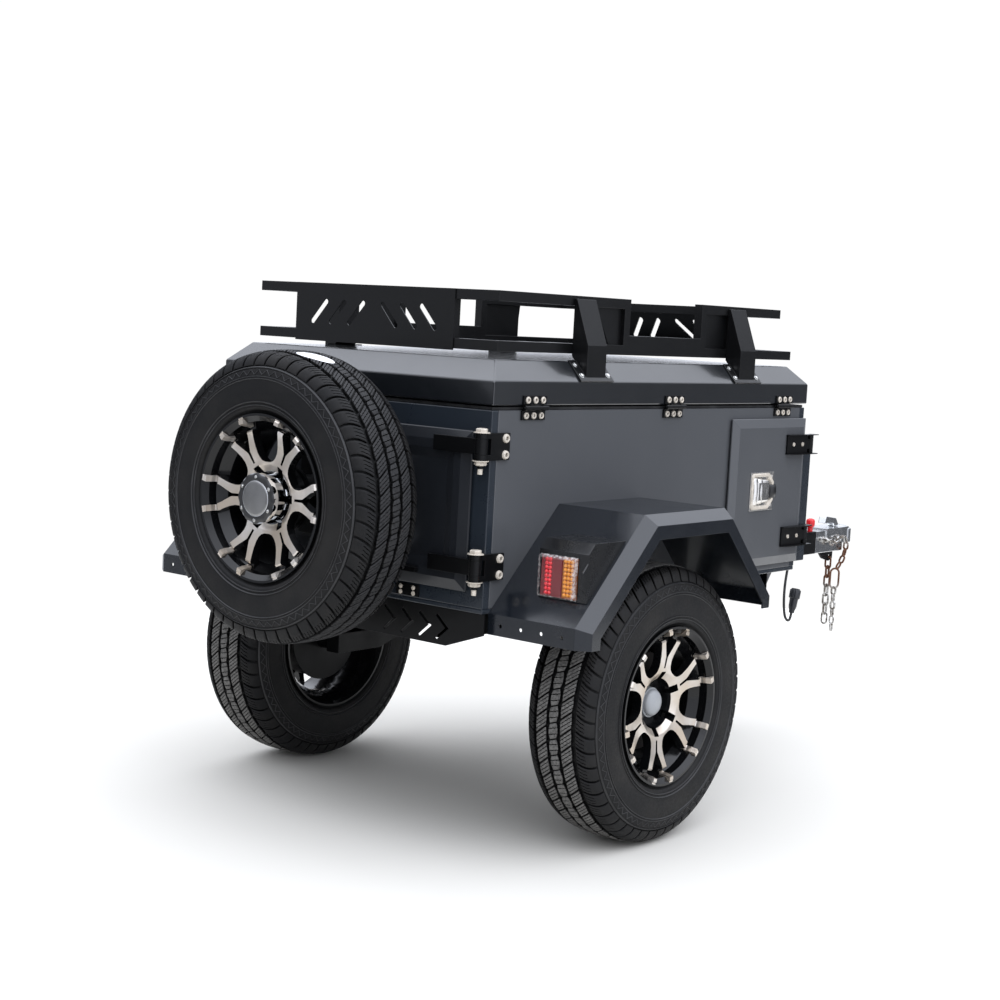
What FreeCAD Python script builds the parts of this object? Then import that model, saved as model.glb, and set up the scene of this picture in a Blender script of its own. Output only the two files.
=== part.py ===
import FreeCAD, Part
import math
import os
from FreeCAD import Vector

# Off-road box camping trailer: lift-up hard top with a roof rack, a spare wheel on the rear
# door, a door on each side, and one axle line on independent trailing arms.
# Millimetres. +X is the trailer's right side, +Y runs forward to the coupling, +Z is up.
# z = 0 is the ground, x = 0 the middle plane, and y = 0 halfway along the whole trailer.

# Wheels and tyres
tyre_radius = 363.0
tyre_width = 220.0
rim_radius = 207.0
rim_width = 208.0
rim_wall = 5.0
rim_drop = 34.0
mount_face_depth = 92.0
spoke_depth = 33.0
spoke_pairs = 6
fork_half_angle = 11.4
finger_width = 19.0
road_turn = 5.0
spare_turn = 28.0
pocket_radius = 62.0
pocket_edge_radius = 80.0
dome_cap_radius = 35.0
dome_cap_depth = 43.0
hub_cap_radius = 62.0
hub_cap_rise = 8.0
hub_cap_flutes = 10
wheel_centre_x = 593.0

# Tub, measured from the axle line
body_half_width = 465.0
body_rear_overhang = 503.0
body_front_reach = 987.0
body_floor_z = 615.0
body_top_z = 1110.0
wall = 25.0
floor_thickness = 12.0
nose_depth = 84.0
nose_half_width = 462.0
nose_bottom_z = 640.0
nose_top_z = 1020.0
nose_bevel = 20.0

# Doors
door_proud = 15.0
door_gap = 5.0
door_plug_clearance = 9.0
door_bevel = 26.0
side_door_rear_reach = 571.0
side_door_bottom_z = 644.0
side_door_top_z = 1079.0
side_plug_inset = 42.0
rear_door_half_width = 418.0
rear_door_bottom_z = 665.0
rear_door_top_z = 1058.0
rear_door_bevel = 28.0
rear_door_frame = 46.0
rear_door_recess = 7.0
rear_door_recess_slope = 28.0
latch_dish = (128.0, 112.0)
latch_dish_rear = 96.0
latch_dish_bottom_z = 812.0
strap_height = 54.0
strap_length = 118.0
strap_thickness = 6.0
rear_strap_height = 66.0
rear_strap_length = 146.0
rear_hinge_inset = 9.0
rear_strap_levels = (697.0, 990.0)
rear_latch_x = 225.0
rear_latch_width = 74.0
pin_fit = 0.1

# Lid
lid_overhang = 5.0
lid_band_bottom_z = 1122.0
lid_band_top_z = 1180.0
lid_top_z = 1231.0
lid_inset_x = 45.0
lid_inset_y = 55.0
lid_wall = 20.0
seal_height = 8.0
lid_hinge_radius = 6.0
lid_hinge_length = 92.0

# Roof rack
rack_half_width = 415.0
rack_rear_reach = 437.0
rack_front_bottom_reach = 970.0
rack_front_rake = 75.0
rack_rail = 26.0
rack_bottom_z = 1250.0
rack_height = 148.0
rack_dip_rear_reach = 106.0
rack_dip_front_reach = 480.0
rack_panel_half_width = 276.0
rack_sheet = 3.0
rack_fold = 20.0
bracket_width = 82.0
bracket_reaches = (-92.0, 644.0)
bracket_foot = 5.0
bracket_foot_margin = 30.0
slot_width = 14.0
slot_places = (81.0, 147.0, 213.0)
slot_lean = 46.0
slot_rise = 51.0
slat_width = 60.0
slat_thickness = 6.0
slat_pitch = 150.0
slat_first = 130.0
gusset_plate = 3.0

# Fenders
fender_sheet = 4.0
fender_top_z = 873.0
fender_crease_x = 728.0
fender_outer_x = 762.0
fender_bevel_drop = 25.0
fender_skirt = 34.0
fender_rear_reach = 478.0
fender_rear_foot_z = 617.0
fender_rear_bottom_z = 565.0
fender_top_rear_reach = 217.0
fender_top_front_reach = 146.0
fender_front_reach = 372.0
fender_front_foot_z = 640.0
fender_front_bottom_z = 598.0
fender_hole_radius = 5.0
fender_hole_places = (504.0, 566.0, 628.0, 690.0)
fender_hole_z = 590.0

# Tail lamps
lamp_inner_x = 578.0
lamp_width = 138.0
lamp_bottom_z = 670.0
lamp_top_z = 787.0
lamp_reach = 428.0
lamp_rise = 25.0
lamp_bevel = 24.0
lamp_guard_reach = 18.0
lens_width = 106.0
lens_height = 104.0
lens_depth = 7.0
lens_proud = 2.0
lens_border = 4.0
lens_split = 0.6

# Frame
rail_centre_x = 330.0
rail_width = 50.0
rail_bottom_z = 535.0
rail_wall = 4.0
drawbar_width = 80.0
drawbar_bottom_z = 551.0
drawbar_top_z = 631.0
drawbar_tip_reach = 2086.0
brace_join_reach = 1560.0
cross_member_width = 50.0
cross_member_reaches = (-443.0, -130.0, 190.0, 640.0)
coupling_nose_reach = 2172.0
coupling_height = 60.0
coupling_head_radius = 42.0
ball_radius = 25.4
ball_bore_depth = 22.0
skirt_side_drop = 52.0
skirt_drop = 94.0
skirt_flat_half = 351.0
chevron_tips = (185.0, 244.0, 302.0, 358.0)
chevron_z = 565.0
chevron_reach = 38.0
chevron_rise = 33.0
chevron_width = 7.0

# Suspension
arm_centre_x = 436.0
arm_width = 48.0
arm_height = 58.0
arm_tail = 78.0
pivot_reach = 430.0
pivot_z = 478.0
pivot_radius = 38.0
spindle_radius = 22.0
drum_radius = 128.0
drum_depth = 52.0

# Jack
jack_x = -104.0
jack_set_back = 320.0
jack_outer_radius = 30.0
jack_wall = 3.5
jack_clamp_low_z = 560.0
jack_clamp_high_z = 625.0
jack_outer_bottom_z = 500.0
jack_outer_top_z = 905.0
jack_inner_top_z = 640.0
jack_wheel_radius = 100.0
jack_wheel_width = 56.0
jack_trail = 34.0
jack_axle_radius = 8.0

# Spare wheel on the rear door
spare_z = 864.0
spare_standoff = 80.0

# Cable, plug and chain. The cable's corners are (x, distance ahead of the axle line, z).
cable_radius = 4.5
gland_radius = 9.0
gland_height = 12.0
cable_points = [(0, 1776, 551), (0, 1776, 523), (1, 1765, 487), (4, 1752, 445), (8, 1744, 405),
                (12, 1741, 368), (15, 1744, 338), (17, 1756, 320), (18, 1772, 316),
                (18, 1782, 326), (18, 1786, 342)]
plug_lean = 14.0
link_wire = 4.0
link_inner_half = 6.5
link_height = 42.3
chain_links = 7
chain_eye_radius = 9.0
chain_eye_set_back = 24.0
chain_eye_drop = 24.0
eye_plate_half = 4.0

# Clearances: between faces that move past each other, round a pin, and under a seated part
running_gap = 0.5
slide_fit = 0.1
seat_gap = 0.1

# Places that follow from the sizes above
door_face = door_gap + door_proud
spare_half_depth = max(tyre_width / 2.0, rim_width / 2.0 + hub_cap_rise)
spare_reach = (body_rear_overhang + door_face + spare_standoff + tyre_width / 2.0
               + spare_half_depth)
axle_y = (spare_reach - coupling_nose_reach) / 2.0
body_rear_y = axle_y - body_rear_overhang
body_front_y = axle_y + body_front_reach
nose_front_y = body_front_y + nose_depth
rear_hinge_x = body_half_width - rear_hinge_inset
rear_hinge_y = body_rear_y - door_face - 4.0
rear_hinge_radius = 16.0
side_hinge_x = body_half_width + door_face + 2.0
side_hinge_y = body_front_y + 12.0
side_hinge_radius = 9.0
side_pin_radius = 4.0
rear_pin_radius = 8.0
lid_pin_radius = 3.0
lid_hinge_x = body_half_width + lid_overhang + lid_hinge_radius + 1.0
lid_hinge_z = (body_top_z + lid_band_bottom_z) / 2.0
lid_hinge_reaches = (-348.0, 269.0, 853.0)
side_door_rear_y = axle_y + side_door_rear_reach
side_door_front_y = body_front_y - 2.0
rail_top_z = body_floor_z
rack_top_z = rack_bottom_z + rack_height
rack_front_top_reach = rack_front_bottom_reach - rack_front_rake
slot_low_z = rack_bottom_z + (rack_height - slot_rise) / 2.0
jack_reach = brace_join_reach - jack_set_back


def box(x0, x1, y0, y1, z0, z1):
    return Part.makeBox(x1 - x0, y1 - y0, z1 - z0, Vector(x0, y0, z0))


def prism(points, axis, low, high):
    """Polygon pushed along an axis: points are (y, z) for x, (x, z) for y and (x, y) for z."""
    if axis == "x":
        corners = [Vector(low, a, b) for a, b in points]
        push = Vector(high - low, 0, 0)
    elif axis == "y":
        corners = [Vector(a, low, b) for a, b in points]
        push = Vector(0, high - low, 0)
    else:
        corners = [Vector(a, b, low) for a, b in points]
        push = Vector(0, 0, high - low)
    return Part.Face(Part.makePolygon(corners + corners[:1])).extrude(push)


def rod(radius, start, end):
    start = Vector(*start)
    line = Vector(*end) - start
    return Part.makeCylinder(radius, line.Length, start, line)


def pipe(radius, thickness, start, end):
    return rod(radius, start, end).cut(rod(radius - thickness, start, end))


def joined(solids):
    whole = solids[0].multiFuse(solids[1:]) if len(solids) > 1 else solids[0]
    return whole.removeSplitter()


def mirrored(shape):
    return shape.mirror(Vector(0, 0, 0), Vector(1, 0, 0))


def both_sides(shape):
    return Part.makeCompound([shape, mirrored(shape)])


def spun(profile, centre, axis):
    """Closed (radius, distance along the axis) profile turned about an axis."""
    if axis == "x":
        corners = [Vector(centre[0] + a, centre[1], centre[2] + r) for r, a in profile]
        direction = Vector(1, 0, 0)
    elif axis == "y":
        corners = [Vector(centre[0], centre[1] + a, centre[2] + r) for r, a in profile]
        direction = Vector(0, 1, 0)
    else:
        corners = [Vector(centre[0] + r, centre[1], centre[2] + a) for r, a in profile]
        direction = Vector(0, 0, 1)
    face = Part.Face(Part.makePolygon(corners + corners[:1]))
    return face.revolve(Vector(*centre), direction, 360)


def offset_line(points, distance):
    """Open polyline moved to the right of its direction, mitred at its corners."""
    normals = []
    for (a0, b0), (a1, b1) in zip(points, points[1:]):
        length = math.hypot(a1 - a0, b1 - b0)
        normals.append(((b1 - b0) / length, (a0 - a1) / length))
    moved = []
    for i, (a, b) in enumerate(points):
        first = normals[max(i - 1, 0)]
        second = normals[min(i, len(normals) - 1)]
        share = 1.0 + first[0] * second[0] + first[1] * second[1]
        moved.append((a + distance * (first[0] + second[0]) / share,
                      b + distance * (first[1] + second[1]) / share))
    return moved


def lofted(first, second):
    """Solid between two polygons given as lists of (x, y, z) corners."""
    wires = []
    for corners in (first, second):
        ring = [Vector(*c) for c in corners]
        wires.append(Part.makePolygon(ring + ring[:1]))
    return Part.makeLoft(wires, True, True)


def bevelled_slab(x0, x1, z0, z1, y_back, y_edge, y_face, bevel):
    """Plate that faces rearwards: a square edge, then a bevel up to its face."""
    edge = box(x0, x1, y_edge, y_back, z0, z1)
    ring = [(x0, y_edge, z0), (x1, y_edge, z0), (x1, y_edge, z1), (x0, y_edge, z1)]
    top = [(x0 + bevel, y_face, z0 + bevel), (x1 - bevel, y_face, z0 + bevel),
           (x1 - bevel, y_face, z1 - bevel), (x0 + bevel, y_face, z1 - bevel)]
    return joined([edge, lofted(ring, top)])


# Wheels

def tyre(centre, axis):
    half = tyre_width / 2.0
    bead = rim_radius - 13.7
    heel = rim_width / 2.0 - 12.3
    profile = [(bead, -heel), (rim_radius + 1, -heel), (rim_radius + 10, -half + 5),
               (rim_radius + 56, -half),
               (tyre_radius - 66, -half + 3), (tyre_radius - 31, -half + 13),
               (tyre_radius - 12, -half + 26), (tyre_radius - 3, -half + 44),
               (tyre_radius, -half + 66),
               (tyre_radius, half - 66), (tyre_radius - 3, half - 44),
               (tyre_radius - 12, half - 26),
               (tyre_radius - 31, half - 13), (tyre_radius - 66, half - 3),
               (rim_radius + 56, half), (rim_radius + 10, half - 5), (rim_radius + 1, heel),
               (bead, heel), (bead, heel - 20), (rim_radius + 12, half - 30),
               (tyre_radius - 40, half - 24), (tyre_radius - 22, half - 50),
               (tyre_radius - 22, -half + 50), (tyre_radius - 40, -half + 24),
               (rim_radius + 12, -half + 30), (bead, -heel + 20)]
    return spun(profile, centre, axis)


def rim(centre, axis, outward, turn, crowned):
    """Alloy rim: flanged barrel, six forked spokes, lip tabs, and a cap in the hub's pocket."""
    half = rim_width / 2.0
    seat = rim_radius - 14.0
    well = rim_radius - rim_drop
    barrel = [(rim_radius, half), (rim_radius, half - 7), (seat, half - 12), (seat, half - 40),
              (well, half - 60), (well, -half + 50), (seat, -half + 34), (seat, -half + 12),
              (rim_radius, -half + 7), (rim_radius, -half), (rim_radius - rim_wall - 1, -half),
              (seat - rim_wall, -half + 16), (well - rim_wall, -half + 54),
              (well - rim_wall, half - 58), (seat - rim_wall, half - 36),
              (seat - rim_wall, half - 12), (rim_radius - rim_wall - 1, half)]
    back = half - mount_face_depth
    face = half - spoke_depth
    edge = pocket_edge_radius
    disc = [(0, back + 14), (pocket_radius, back + 14), (pocket_radius + 4, face - 12),
            (edge, face - 2), (edge + 4, face), (120, face + 4), (167, face + 13),
            (171, face + 11), (173, face - 1), (seat - 2, face - 1), (seat - 2, face - 13),
            (165, face - 15), (120, face - 20), (edge + 2, face - 28), (edge, back), (0, back)]
    parts = [spun([(r, a * outward) for r, a in p], centre, axis) for p in (barrel, disc)]
    cuts = []
    tabs = []
    for i in range(spoke_pairs):
        angle = turn + 360.0 * i / spoke_pairs
        cuts.append(spoke_window(centre, axis, angle + 180.0 / spoke_pairs))
        cuts.append(spoke_fork(centre, axis, angle))
        cuts.append(lug_notch(centre, axis, outward, angle))
        tabs.append(lip_tab(centre, axis, outward, angle - fork_half_angle))
        tabs.append(lip_tab(centre, axis, outward, angle + fork_half_angle))
    spokes = parts[1].cut(Part.makeCompound(cuts))
    cap = crown_cap(centre, axis, outward) if crowned else dome_cap(centre, axis, outward)
    return joined([parts[0], spokes, cap] + tabs)


def dome_cap(centre, axis, outward):
    """Plain round cap on a road wheel's bearing, low in the pocket."""
    face = rim_width / 2.0 - dome_cap_depth
    floor = rim_width / 2.0 - mount_face_depth + 13.0
    r = dome_cap_radius
    profile = [(0, face), (r - 25, face), (r - 16, face - 1.5), (r - 7, face - 5), (r - 2, face - 10),
               (r, face - 14), (r, face - 20), (r + 4, face - 20), (r + 4, floor), (0, floor)]
    return spun([(radius, a * outward) for radius, a in profile], centre, axis)


def crown_cap(centre, axis, outward):
    """Fluted cap that fills the pocket and stands proud of the lip."""
    top = rim_width / 2.0 + hub_cap_rise
    floor = rim_width / 2.0 - mount_face_depth + 13.0
    r = hub_cap_radius
    profile = [(0, top), (r - 18, top), (r - 14, top - 4), (r, top - 4), (r, top - 18),
               (r - 5, top - 24), (r - 5, floor + 14), (r - 1, floor), (0, floor)]
    cap = spun([(radius, a * outward) for radius, a in profile], centre, axis)
    flutes = [cap_flute(centre, axis, outward, 360.0 * i / hub_cap_flutes)
              for i in range(hub_cap_flutes)]
    return cap.cut(Part.makeCompound(flutes))


def wheel_prism(corners, centre, axis, angle, low, high):
    """Polygon in the wheel's own plane, pushed along its axle and turned to an angle."""
    if axis == "x":
        ring = [Vector(centre[0] + low, centre[1] + a, centre[2] + b) for a, b in corners]
        push = Vector(high - low, 0, 0)
        direction = Vector(1, 0, 0)
    else:
        ring = [Vector(centre[0] + a, centre[1] + low, centre[2] + b) for a, b in corners]
        push = Vector(0, high - low, 0)
        direction = Vector(0, 1, 0)
    solid = Part.Face(Part.makePolygon(ring + ring[:1])).extrude(push)
    solid.rotate(Vector(*centre), direction, angle)
    return solid


def spoke_window(centre, axis, angle):
    """Teardrop opening between two forked spokes."""
    half = [(9, 88), (19, 91), (27, 98), (34, 109), (39, 124), (42, 141), (44, 160),
            (50, rim_radius)]
    corners = half + [(-a, b) for a, b in half[::-1]]
    return wheel_prism(corners, centre, axis, angle, -rim_width, rim_width)


def spoke_fork(centre, axis, angle):
    """Gap between the two fingers of one spoke, which widens out to the barrel."""
    spread = math.tan(math.radians(fork_half_angle))
    outer = rim_radius * spread - finger_width / 2.0
    half = [(3, 94), (4, 124), (10, 136), (17, 149), (23, 161), (outer, rim_radius)]
    corners = half + [(-a, b) for a, b in half[::-1]]
    return wheel_prism(corners, centre, axis, angle, -rim_width, rim_width)


def lug_notch(centre, axis, outward, angle):
    """Slot for a wheel bolt, in the pocket's wall at the foot of each spoke."""
    face = rim_width / 2.0 - spoke_depth
    floor = rim_width / 2.0 - mount_face_depth + 20.0
    corners = [(pocket_radius - 14, face + 6), (pocket_edge_radius + 5, face + 6),
               (pocket_edge_radius + 3, floor), (pocket_radius - 14, floor)]
    return radial_prism(corners, centre, axis, outward, angle, 20.0)


def radial_prism(corners, centre, axis, outward, angle, width):
    """Polygon of (radius, distance along the axle), given a width and turned to an angle."""
    if axis == "x":
        ring = [Vector(centre[0] + a * outward, centre[1] - width / 2.0, centre[2] + r)
                for r, a in corners]
        push = Vector(0, width, 0)
        direction = Vector(1, 0, 0)
    else:
        ring = [Vector(centre[0] - width / 2.0, centre[1] + a * outward, centre[2] + r)
                for r, a in corners]
        push = Vector(width, 0, 0)
        direction = Vector(0, 1, 0)
    solid = Part.Face(Part.makePolygon(ring + ring[:1])).extrude(push)
    solid.rotate(Vector(*centre), direction, angle)
    return solid


def lip_tab(centre, axis, outward, angle):
    """End of a spoke's finger, which climbs the barrel and folds over the lip."""
    half = rim_width / 2.0
    face = half - spoke_depth
    seat = rim_radius - 14.0
    corners = [(177, face - 4), (177, face - 10), (seat - 1, face - 10), (seat - 1, half - 14),
               (rim_radius - 5, half - 3), (rim_radius - 10, half + 2), (rim_radius - 19, half + 2),
               (seat - 9, half - 13), (seat - 10, half - 26)]
    return radial_prism(corners, centre, axis, outward, angle, finger_width - 4.0)


def cap_flute(centre, axis, outward, angle):
    top = rim_width / 2.0 + hub_cap_rise
    corners = [(hub_cap_radius - 16, top - 24), (hub_cap_radius + 12, top - 24),
               (hub_cap_radius + 12, top - 66), (hub_cap_radius - 16, top - 60)]
    return radial_prism(corners, centre, axis, outward, angle, 16.0)


def brake_drum(side):
    """Drum bolted behind the wheel: it turns with the wheel."""
    face_x = wheel_centre_x + rim_width / 2.0 - mount_face_depth
    shape = pipe(drum_radius, 6.0, (face_x - drum_depth, axle_y, tyre_radius),
                 (face_x - 6.0, axle_y, tyre_radius))
    cap = rod(drum_radius, (face_x - 6.0, axle_y, tyre_radius), (face_x, axle_y, tyre_radius))
    hub = pipe(46.0, 46.0 - spindle_radius - running_gap,
               (face_x - drum_depth, axle_y, tyre_radius), (face_x - 6.0, axle_y, tyre_radius))
    drum = joined([shape, cap, hub])
    return drum if side > 0 else mirrored(drum)


# Frame and drawbar

def frame_rails():
    y0 = body_rear_y + 16.0
    y1 = body_front_y - 22.0
    x0 = rail_centre_x - rail_width / 2.0
    x1 = rail_centre_x + rail_width / 2.0
    outer = box(x0, x1, y0, y1, rail_bottom_z, rail_top_z)
    inner = box(x0 + rail_wall, x1 - rail_wall, y0, y1, rail_bottom_z + rail_wall,
                rail_top_z - rail_wall)
    return both_sides(outer.cut(inner))


def cross_members():
    """Square tubes between the rails, and the front beam that the drawbar is welded to."""
    inner_x = rail_centre_x - rail_width / 2.0
    beams = []
    for reach in cross_member_reaches:
        y = axle_y + reach
        outer = box(-inner_x, inner_x, y, y + cross_member_width, rail_bottom_z + 20, rail_top_z)
        hole = box(-inner_x, inner_x, y + rail_wall, y + cross_member_width - rail_wall,
                   rail_bottom_z + 20 + rail_wall, rail_top_z - rail_wall)
        beams.append(outer.cut(hole))
    y = body_front_y - 22.0
    span = rail_centre_x + rail_width / 2.0
    outer = box(-span, span, y, y + 60.0, rail_bottom_z, rail_top_z)
    hole = box(-span, span, y + rail_wall, y + 60.0 - rail_wall, rail_bottom_z + rail_wall,
               rail_top_z - rail_wall)
    beams.append(outer.cut(hole))
    return Part.makeCompound(beams)


def drawbar():
    y0 = body_front_y + 38.0
    y1 = axle_y + drawbar_tip_reach
    half = drawbar_width / 2.0
    outer = box(-half, half, y0, y1, drawbar_bottom_z, drawbar_top_z)
    inner = box(-half + 5, half - 5, y0, y1 - 5, drawbar_bottom_z + 5, drawbar_top_z - 5)
    return outer.cut(inner)


def drawbar_braces():
    """Two tubes that run from the ends of the front beam to the sides of the drawbar."""
    y0 = body_front_y + 38.0
    y1 = axle_y + brace_join_reach
    half = drawbar_width / 2.0
    span = rail_centre_x + rail_width / 2.0
    points = [(span, y0), (half, y1 + 70), (half, y1 - 40), (span - 62, y0)]
    return both_sides(prism(points, "z", drawbar_bottom_z + 4, rail_top_z))


def chain_eye():
    return 0.0, axle_y + drawbar_tip_reach - chain_eye_set_back, drawbar_bottom_z - chain_eye_drop


def coupling_gusset():
    """Welded plate under the drawbar's tip, which holds the chain eye."""
    tip = axle_y + drawbar_tip_reach
    points = [(tip - 112, drawbar_bottom_z), (tip - 2, drawbar_bottom_z),
              (tip - 4, drawbar_bottom_z - 34), (tip - 30, drawbar_bottom_z - 42),
              (tip - 76, drawbar_bottom_z - 30)]
    x, y, z = chain_eye()
    half = eye_plate_half
    plate = prism(points, "x", x - half, x + half)
    return plate.cut(rod(chain_eye_radius, (x - half, y, z), (x + half, y, z)))


# Coupling

def coupling_body():
    """Pressed ball coupling: a channel over the drawbar's tip and a round head for the ball."""
    tip = axle_y + drawbar_tip_reach
    nose = axle_y + coupling_nose_reach
    head_radius = coupling_head_radius
    head_y = nose - head_radius
    half = drawbar_width / 2.0
    z1 = drawbar_top_z + 8.0
    z0 = z1 - coupling_height
    saddle = box(-half - 4, half + 4, tip - 128, tip + 2, z0 + 22, z1 - 2)
    saddle = saddle.cut(box(-half, half, tip - 130, tip, z0, drawbar_top_z))
    neck = prism([(-half - 4, tip + 2), (half + 4, tip + 2), (head_radius - 4, head_y),
                  (-head_radius + 4, head_y)], "z", z0, z1 - 2)
    head = rod(head_radius, (0, head_y, z0), (0, head_y, z1 - 12))
    dome = spun([(0, z1 + 2), (24, z1 - 2), (head_radius, z1 - 12), (0, z1 - 12)],
                (0, head_y, 0), "z")
    whole = joined([saddle, neck, head, dome])
    socket = rod(ball_radius, (0, head_y, z0 - 1), (0, head_y, z0 + ball_bore_depth))
    cup = Part.makeSphere(ball_radius, Vector(0, head_y, z0 + ball_bore_depth))
    return whole.cut(socket).cut(cup)


def coupling_handle():
    tip = axle_y + drawbar_tip_reach
    z = drawbar_top_z + 6.0
    points = [(tip - 96, z + 14), (tip - 86, z + 40), (tip - 10, z + 30), (tip + 12, z + 4),
              (tip - 2, z + 0.3), (tip - 24, z + 0.3), (tip - 30, z + 10)]
    return prism(points, "x", -14, 14)


# Suspension

def suspension_tubes():
    """Rubber-sprung half axles: a tube across the frame's underside, hung on each rail."""
    y = axle_y + pivot_reach
    inner = 90.0
    outer = arm_centre_x - arm_width / 2.0 - running_gap
    tube = pipe(pivot_radius, 6.0, (inner, y, pivot_z), (outer, y, pivot_z))
    x0 = rail_centre_x - rail_width / 2.0
    plate = box(x0, x0 + rail_width, y - 60, y + 60, rail_bottom_z - 8, rail_bottom_z)
    saddle = box(x0 + 4, x0 + rail_width - 4, y - 34, y + 34, pivot_z, rail_bottom_z - 8)
    saddle = saddle.cut(rod(pivot_radius - 3, (inner, y, pivot_z), (outer, y, pivot_z)))
    return both_sides(joined([tube, plate, saddle]))


def trailing_arms():
    """Box arms that run back from the pivots and carry the stub axles."""
    x0 = arm_centre_x - arm_width / 2.0
    x1 = arm_centre_x + arm_width / 2.0
    y0 = axle_y - arm_tail
    y1 = axle_y + pivot_reach
    half = arm_height / 2.0
    points = [(y0, tyre_radius - half), (y0, tyre_radius + half), (axle_y + 90, tyre_radius + half),
              (y1, pivot_z + half), (y1, pivot_z - half), (axle_y + 100, tyre_radius - half)]
    arm = prism(points, "x", x0, x1)
    boss = rod(pivot_radius, (x0, y1, pivot_z), (x1, y1, pivot_z))
    return both_sides(joined([arm, boss]))


def stub_axles():
    """Spindles and backing plates: they stay still while drum and wheel turn on them."""
    x0 = arm_centre_x + arm_width / 2.0
    face_x = wheel_centre_x + rim_width / 2.0 - mount_face_depth
    plate_x = face_x - drum_depth - 10.0
    block = rod(40.0, (x0, axle_y, tyre_radius), (plate_x, axle_y, tyre_radius))
    plate = rod(drum_radius + 6, (plate_x, axle_y, tyre_radius),
                (plate_x + 5, axle_y, tyre_radius))
    spindle = rod(spindle_radius, (plate_x, axle_y, tyre_radius),
                  (face_x - 8.0, axle_y, tyre_radius))
    return both_sides(joined([block, plate, spindle]))


# Fenders

def fender_line():
    return [(axle_y - fender_rear_reach, fender_rear_bottom_z),
            (axle_y - fender_rear_reach, fender_rear_foot_z),
            (axle_y - fender_top_rear_reach, fender_top_z),
            (axle_y + fender_top_front_reach, fender_top_z),
            (axle_y + fender_front_reach, fender_front_foot_z),
            (axle_y + fender_front_reach, fender_front_bottom_z)]


def fender(side):
    """Folded sheet over the wheel: sloped ends, flat top, bevelled outer edge and skirt."""
    line = fender_line()
    under = offset_line(line, fender_sheet)
    strip = prism(line + under[::-1], "x", body_half_width, fender_crease_x)
    low = offset_line(line, fender_bevel_drop)
    low_under = offset_line(line, fender_bevel_drop + fender_sheet)
    first = [(fender_crease_x, y, z) for y, z in line + under[::-1]]
    second = [(fender_outer_x, y, z) for y, z in low + low_under[::-1]]
    bevel = lofted(first, second)
    hem = offset_line(line, fender_bevel_drop + fender_skirt)
    skirt = prism(low + hem[::-1], "x", fender_outer_x - fender_sheet, fender_outer_x)
    y = line[0][0]
    holes = [rod(fender_hole_radius, (x, y - 1, fender_hole_z), (x, y + fender_sheet + 1, fender_hole_z))
             for x in fender_hole_places]
    shape = joined([strip, bevel, skirt]).cut(Part.makeCompound(holes))
    return shape if side > 0 else mirrored(shape)


def lamp_hoods():
    """Sheet housings on the fenders' rear slopes, open to the rear for the lenses."""
    x0 = lamp_inner_x
    x1 = lamp_inner_x + lamp_width
    y = axle_y - lamp_reach
    slope = fender_line()[1:3]
    run = (slope[1][0] - slope[0][0]) / (slope[1][1] - slope[0][1])
    y_low = slope[0][0] + (lamp_bottom_z - slope[0][1]) * run
    y_high = slope[0][0] + (lamp_top_z + lamp_rise - slope[0][1]) * run
    points = [(y_low, lamp_bottom_z), (y, lamp_bottom_z), (y, lamp_top_z),
              (y + lamp_bevel, lamp_top_z + lamp_rise), (y_high, lamp_top_z + lamp_rise)]
    if y_low < y:
        points = points[1:]
    outer = prism(points, "x", x0 - 4, x1 + 4)
    recess = box(x0, x0 + lens_border * 2 + lens_width, y, y + lens_depth, lamp_bottom_z + 2,
                 lamp_bottom_z + 2 + lens_height)
    reach = y - lamp_guard_reach
    guard = prism([(y, lamp_bottom_z + 18), (reach, lamp_bottom_z + 36),
                   (reach, lamp_top_z - 42), (y, lamp_top_z - 22)], "x", x1, x1 + 4)
    return both_sides(joined([outer.cut(recess), guard]))


def tail_lenses(colour):
    x0 = lamp_inner_x + lens_border
    x1 = x0 + lens_width
    split = x0 + lens_width * lens_split
    y = axle_y - lamp_reach
    span = (x0, split - 0.5) if colour == "red" else (split + 0.5, x1)
    lens = box(span[0], span[1], y - lens_proud, y + lens_depth, lamp_bottom_z + 4,
               lamp_bottom_z + lens_height)
    return both_sides(lens)


# Tub

def tub_floor():
    return box(-body_half_width, body_half_width, body_rear_y, body_front_y, body_floor_z,
               body_floor_z + floor_thickness)


def side_opening():
    y0 = side_door_rear_y + side_plug_inset - door_plug_clearance
    y1 = side_door_front_y - side_plug_inset + door_plug_clearance
    z0 = side_door_bottom_z + side_plug_inset - door_plug_clearance
    z1 = side_door_top_z - side_plug_inset + door_plug_clearance
    return y0, y1, z0, z1


def tub_side(side):
    z0 = body_floor_z + floor_thickness
    panel = box(body_half_width - wall, body_half_width, body_rear_y + wall,
                body_front_y - wall, z0, body_top_z)
    y0, y1, low, high = side_opening()
    panel = panel.cut(box(body_half_width - wall, body_half_width, y0, y1, low, high))
    return panel if side > 0 else mirrored(panel)


def tub_rear():
    z0 = body_floor_z + floor_thickness
    panel = box(-body_half_width, body_half_width, body_rear_y, body_rear_y + wall, z0,
                body_top_z)
    inset = side_plug_inset - door_plug_clearance
    half = rear_door_half_width - inset
    return panel.cut(box(-half, half, body_rear_y, body_rear_y + wall,
                         rear_door_bottom_z + inset, rear_door_top_z - inset))


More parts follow.
